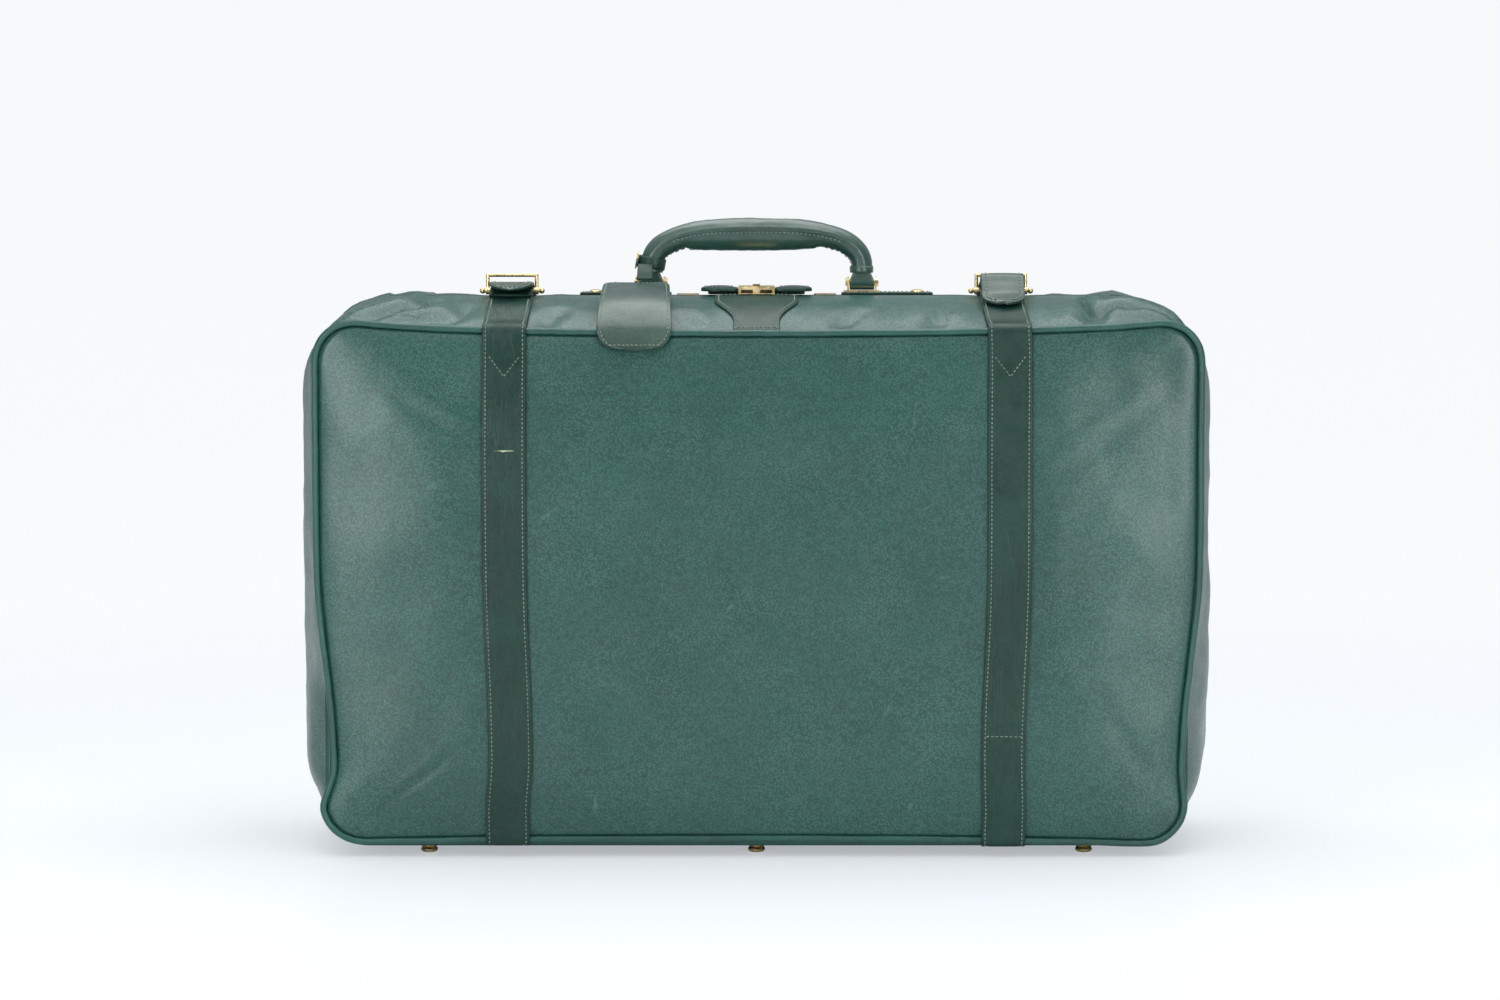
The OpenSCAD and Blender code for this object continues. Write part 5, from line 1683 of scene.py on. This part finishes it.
class CASE_OT_stage(bpy.types.Operator):
    """Makes the pale floor, the soft lights and the camera"""
    bl_idname = "travel_case.stage"
    bl_label = "Stage"

    def execute(self, context):
        stage = context.scene.case_stage
        scene = context.scene
        scene.view_settings.view_transform = "Standard"
        self.floor()
        self.sky(scene, stage)
        self.lights(scene, stage)
        data = bpy.data.cameras.new("camera")
        data.lens = stage.lens
        data.sensor_width = 36
        data.clip_start, data.clip_end = 0.1, 60
        camera = bpy.data.objects.new("camera", data)
        camera.location = (-0.005, -HALF_D - stage.distance, stage.rise)
        camera.rotation_euler = (pi / 2 - stage.pitch, 0, 0)
        scene.collection.objects.link(camera)
        scene.camera = camera
        return {"FINISHED"}

    def sky(self, scene, stage):
        """White for the camera and, for the case, an even light that grows upwards and to the back."""
        world = bpy.data.worlds.new("studio")
        scene.world = world
        world.use_nodes = True
        t = Tree(world.node_tree)
        for node in list(world.node_tree.nodes):
            world.node_tree.nodes.remove(node)
        white = t.add("ShaderNodeBackground", {"Color": (0.985, 0.99, 1.0, 1.0), "Strength": 1.0})
        sky = t.add("ShaderNodeSeparateXYZ", {0: t.add("ShaderNodeTexCoord").outputs["Generated"]}).outputs
        front = t.range(sky[1], -0.9, 0.1, stage.fill * 0.20, stage.fill * 0.85)
        above = t.range(sky[2], 0.2, 1.0, 0.0, stage.fill * 0.9)
        light = t.calc("ADD", front, above)
        even = t.add("ShaderNodeBackground", {"Color": (1.0, 1.0, 1.0, 1.0), "Strength": light})
        seen = t.add("ShaderNodeLightPath").outputs
        mix = t.add("ShaderNodeMixShader", {0: seen["Is Camera Ray"], 1: even.outputs[0], 2: white.outputs[0]})
        t.add("ShaderNodeOutputWorld", {0: mix.outputs[0]})

    def lights(self, scene, stage):
        """One soft key light, one above and two beside the camera that draw out the sides."""
        for name, place, aim, share, wide, high in (
                ("key", (-1.0, -2.2, 2.6), (0, 0, 0.3), 1.0, 1.6, 1.4),
                ("top", (0.1, 0.1, 2.2), (0, 0, 0.3), 2.3, 2.4, 1.6),
                ("right", (1.40, -2.7, 0.7), (0.3, 0, 0.2), stage.sides, 0.5, 1.5),
                ("left", (-1.40, -2.7, 0.7), (-0.3, 0, 0.2), stage.sides, 0.5, 1.5)):
            light = bpy.data.lights.new(name, "AREA")
            light.shape = "RECTANGLE"
            light.size, light.size_y = wide, high
            light.energy = stage.key * share
            lamp = bpy.data.objects.new(name, light)
            lamp.location = place
            lamp.rotation_euler = (Vector(aim) - Vector(place)).to_track_quat("-Z", "Y").to_euler()
            scene.collection.objects.link(lamp)

    def floor(self):
        """A white sweep: flat under the case and curved up behind it. It keeps the case's soft shadow: near the
        case more of the lit floor shows, and the glow that the camera sees there is darker and bluer as a painted
        shadow.
        """
        far_y, bend, wide = 6.5, 3, (-9, -2, 0, 2, 9)
        rows = [(-9, 0), (-2, 0), (-0.4, 0), (0.4, 0), (2.4, 0), (far_y, 0)]
        rows += [(far_y + bend * sin(radians(t)), bend - bend * cos(radians(t))) for t in range(6, 91, 6)]
        rows.append((far_y + bend, 9.0))
        verts = [Vector((x, y, z)) for y, z in rows for x in wide]
        material, t, shader, at = finish("floor_white")
        shader.inputs["Base Color"].default_value = (0.86, 0.89, 0.92, 1.0)
        shader.inputs["Roughness"].default_value = 0.36
        far = t.range(t.vector("LENGTH", at), 0.32, 1.9)
        # Painted shadow: the glow's colour is darker and bluer near the case and paler far from it.
        pale = t.mix(far, (0.878, 0.923, 0.978), (0.955, 0.970, 0.990))
        glow = t.add("ShaderNodeEmission", {"Color": pale, "Strength": t.range(far, 0, 1, 1.03, 1.01)})
        seen = t.add("ShaderNodeLightPath").outputs
        part = t.times(seen["Is Camera Ray"], t.range(far, 0, 1, 0.45, 0.93))
        mix = t.add("ShaderNodeMixShader", {0: part, 1: shader.outputs[0], 2: glow.outputs[0]})
        t.join(mix.outputs[0], material.node_tree.nodes["Material Output"].inputs["Surface"])
        make("floor", verts, lattice(len(rows), len(wide), close_cols=False), material)


# Panel and running

PIECES = ("halves", "straps", "lock_leathers", "handle", "tag", "zip", "fittings", "stage")


class CASE_PT_panel(bpy.types.Panel):
    """Lists the pieces and the settings of the travel case"""
    bl_label = "Travel case"
    bl_idname = "CASE_PT_panel"
    bl_space_type = "VIEW_3D"
    bl_region_type = "UI"
    bl_category = "Travel case"

    def draw(self, context):
        layout = self.layout
        for group in (context.scene.case_shape, context.scene.case_colours, context.scene.case_stage):
            box = layout.box()
            for key in group.__annotations__:
                box.prop(group, key)
        for piece in PIECES:
            layout.operator(f"travel_case.{piece}")


CLASSES = (CaseShape, CaseColours, CaseStage, CASE_OT_halves, CASE_OT_straps, CASE_OT_lock_leathers,
           CASE_OT_handle, CASE_OT_tag, CASE_OT_zip, CASE_OT_fittings, CASE_OT_stage, CASE_PT_panel)


def register():
    """Adds the classes and the scene's settings to Blender."""
    for cls in CLASSES:
        bpy.utils.register_class(cls)
    bpy.types.Scene.case_shape = PointerProperty(type=CaseShape)
    bpy.types.Scene.case_colours = PointerProperty(type=CaseColours)
    bpy.types.Scene.case_stage = PointerProperty(type=CaseStage)


def unregister():
    """Takes the classes and the scene's settings out of Blender."""
    for key in ("case_shape", "case_colours", "case_stage"):
        delattr(bpy.types.Scene, key)
    for cls in reversed(CLASSES):
        bpy.utils.unregister_class(cls)


def main():
    """Makes every piece."""
    register()
    for make_effect in (effect_pebbles, effect_creases, effect_patina, effect_edge_wear, effect_rub, effect_weave):
        make_effect()
    for piece in PIECES:
        getattr(bpy.ops.travel_case, piece)()


if __name__ == "__main__":
    main()
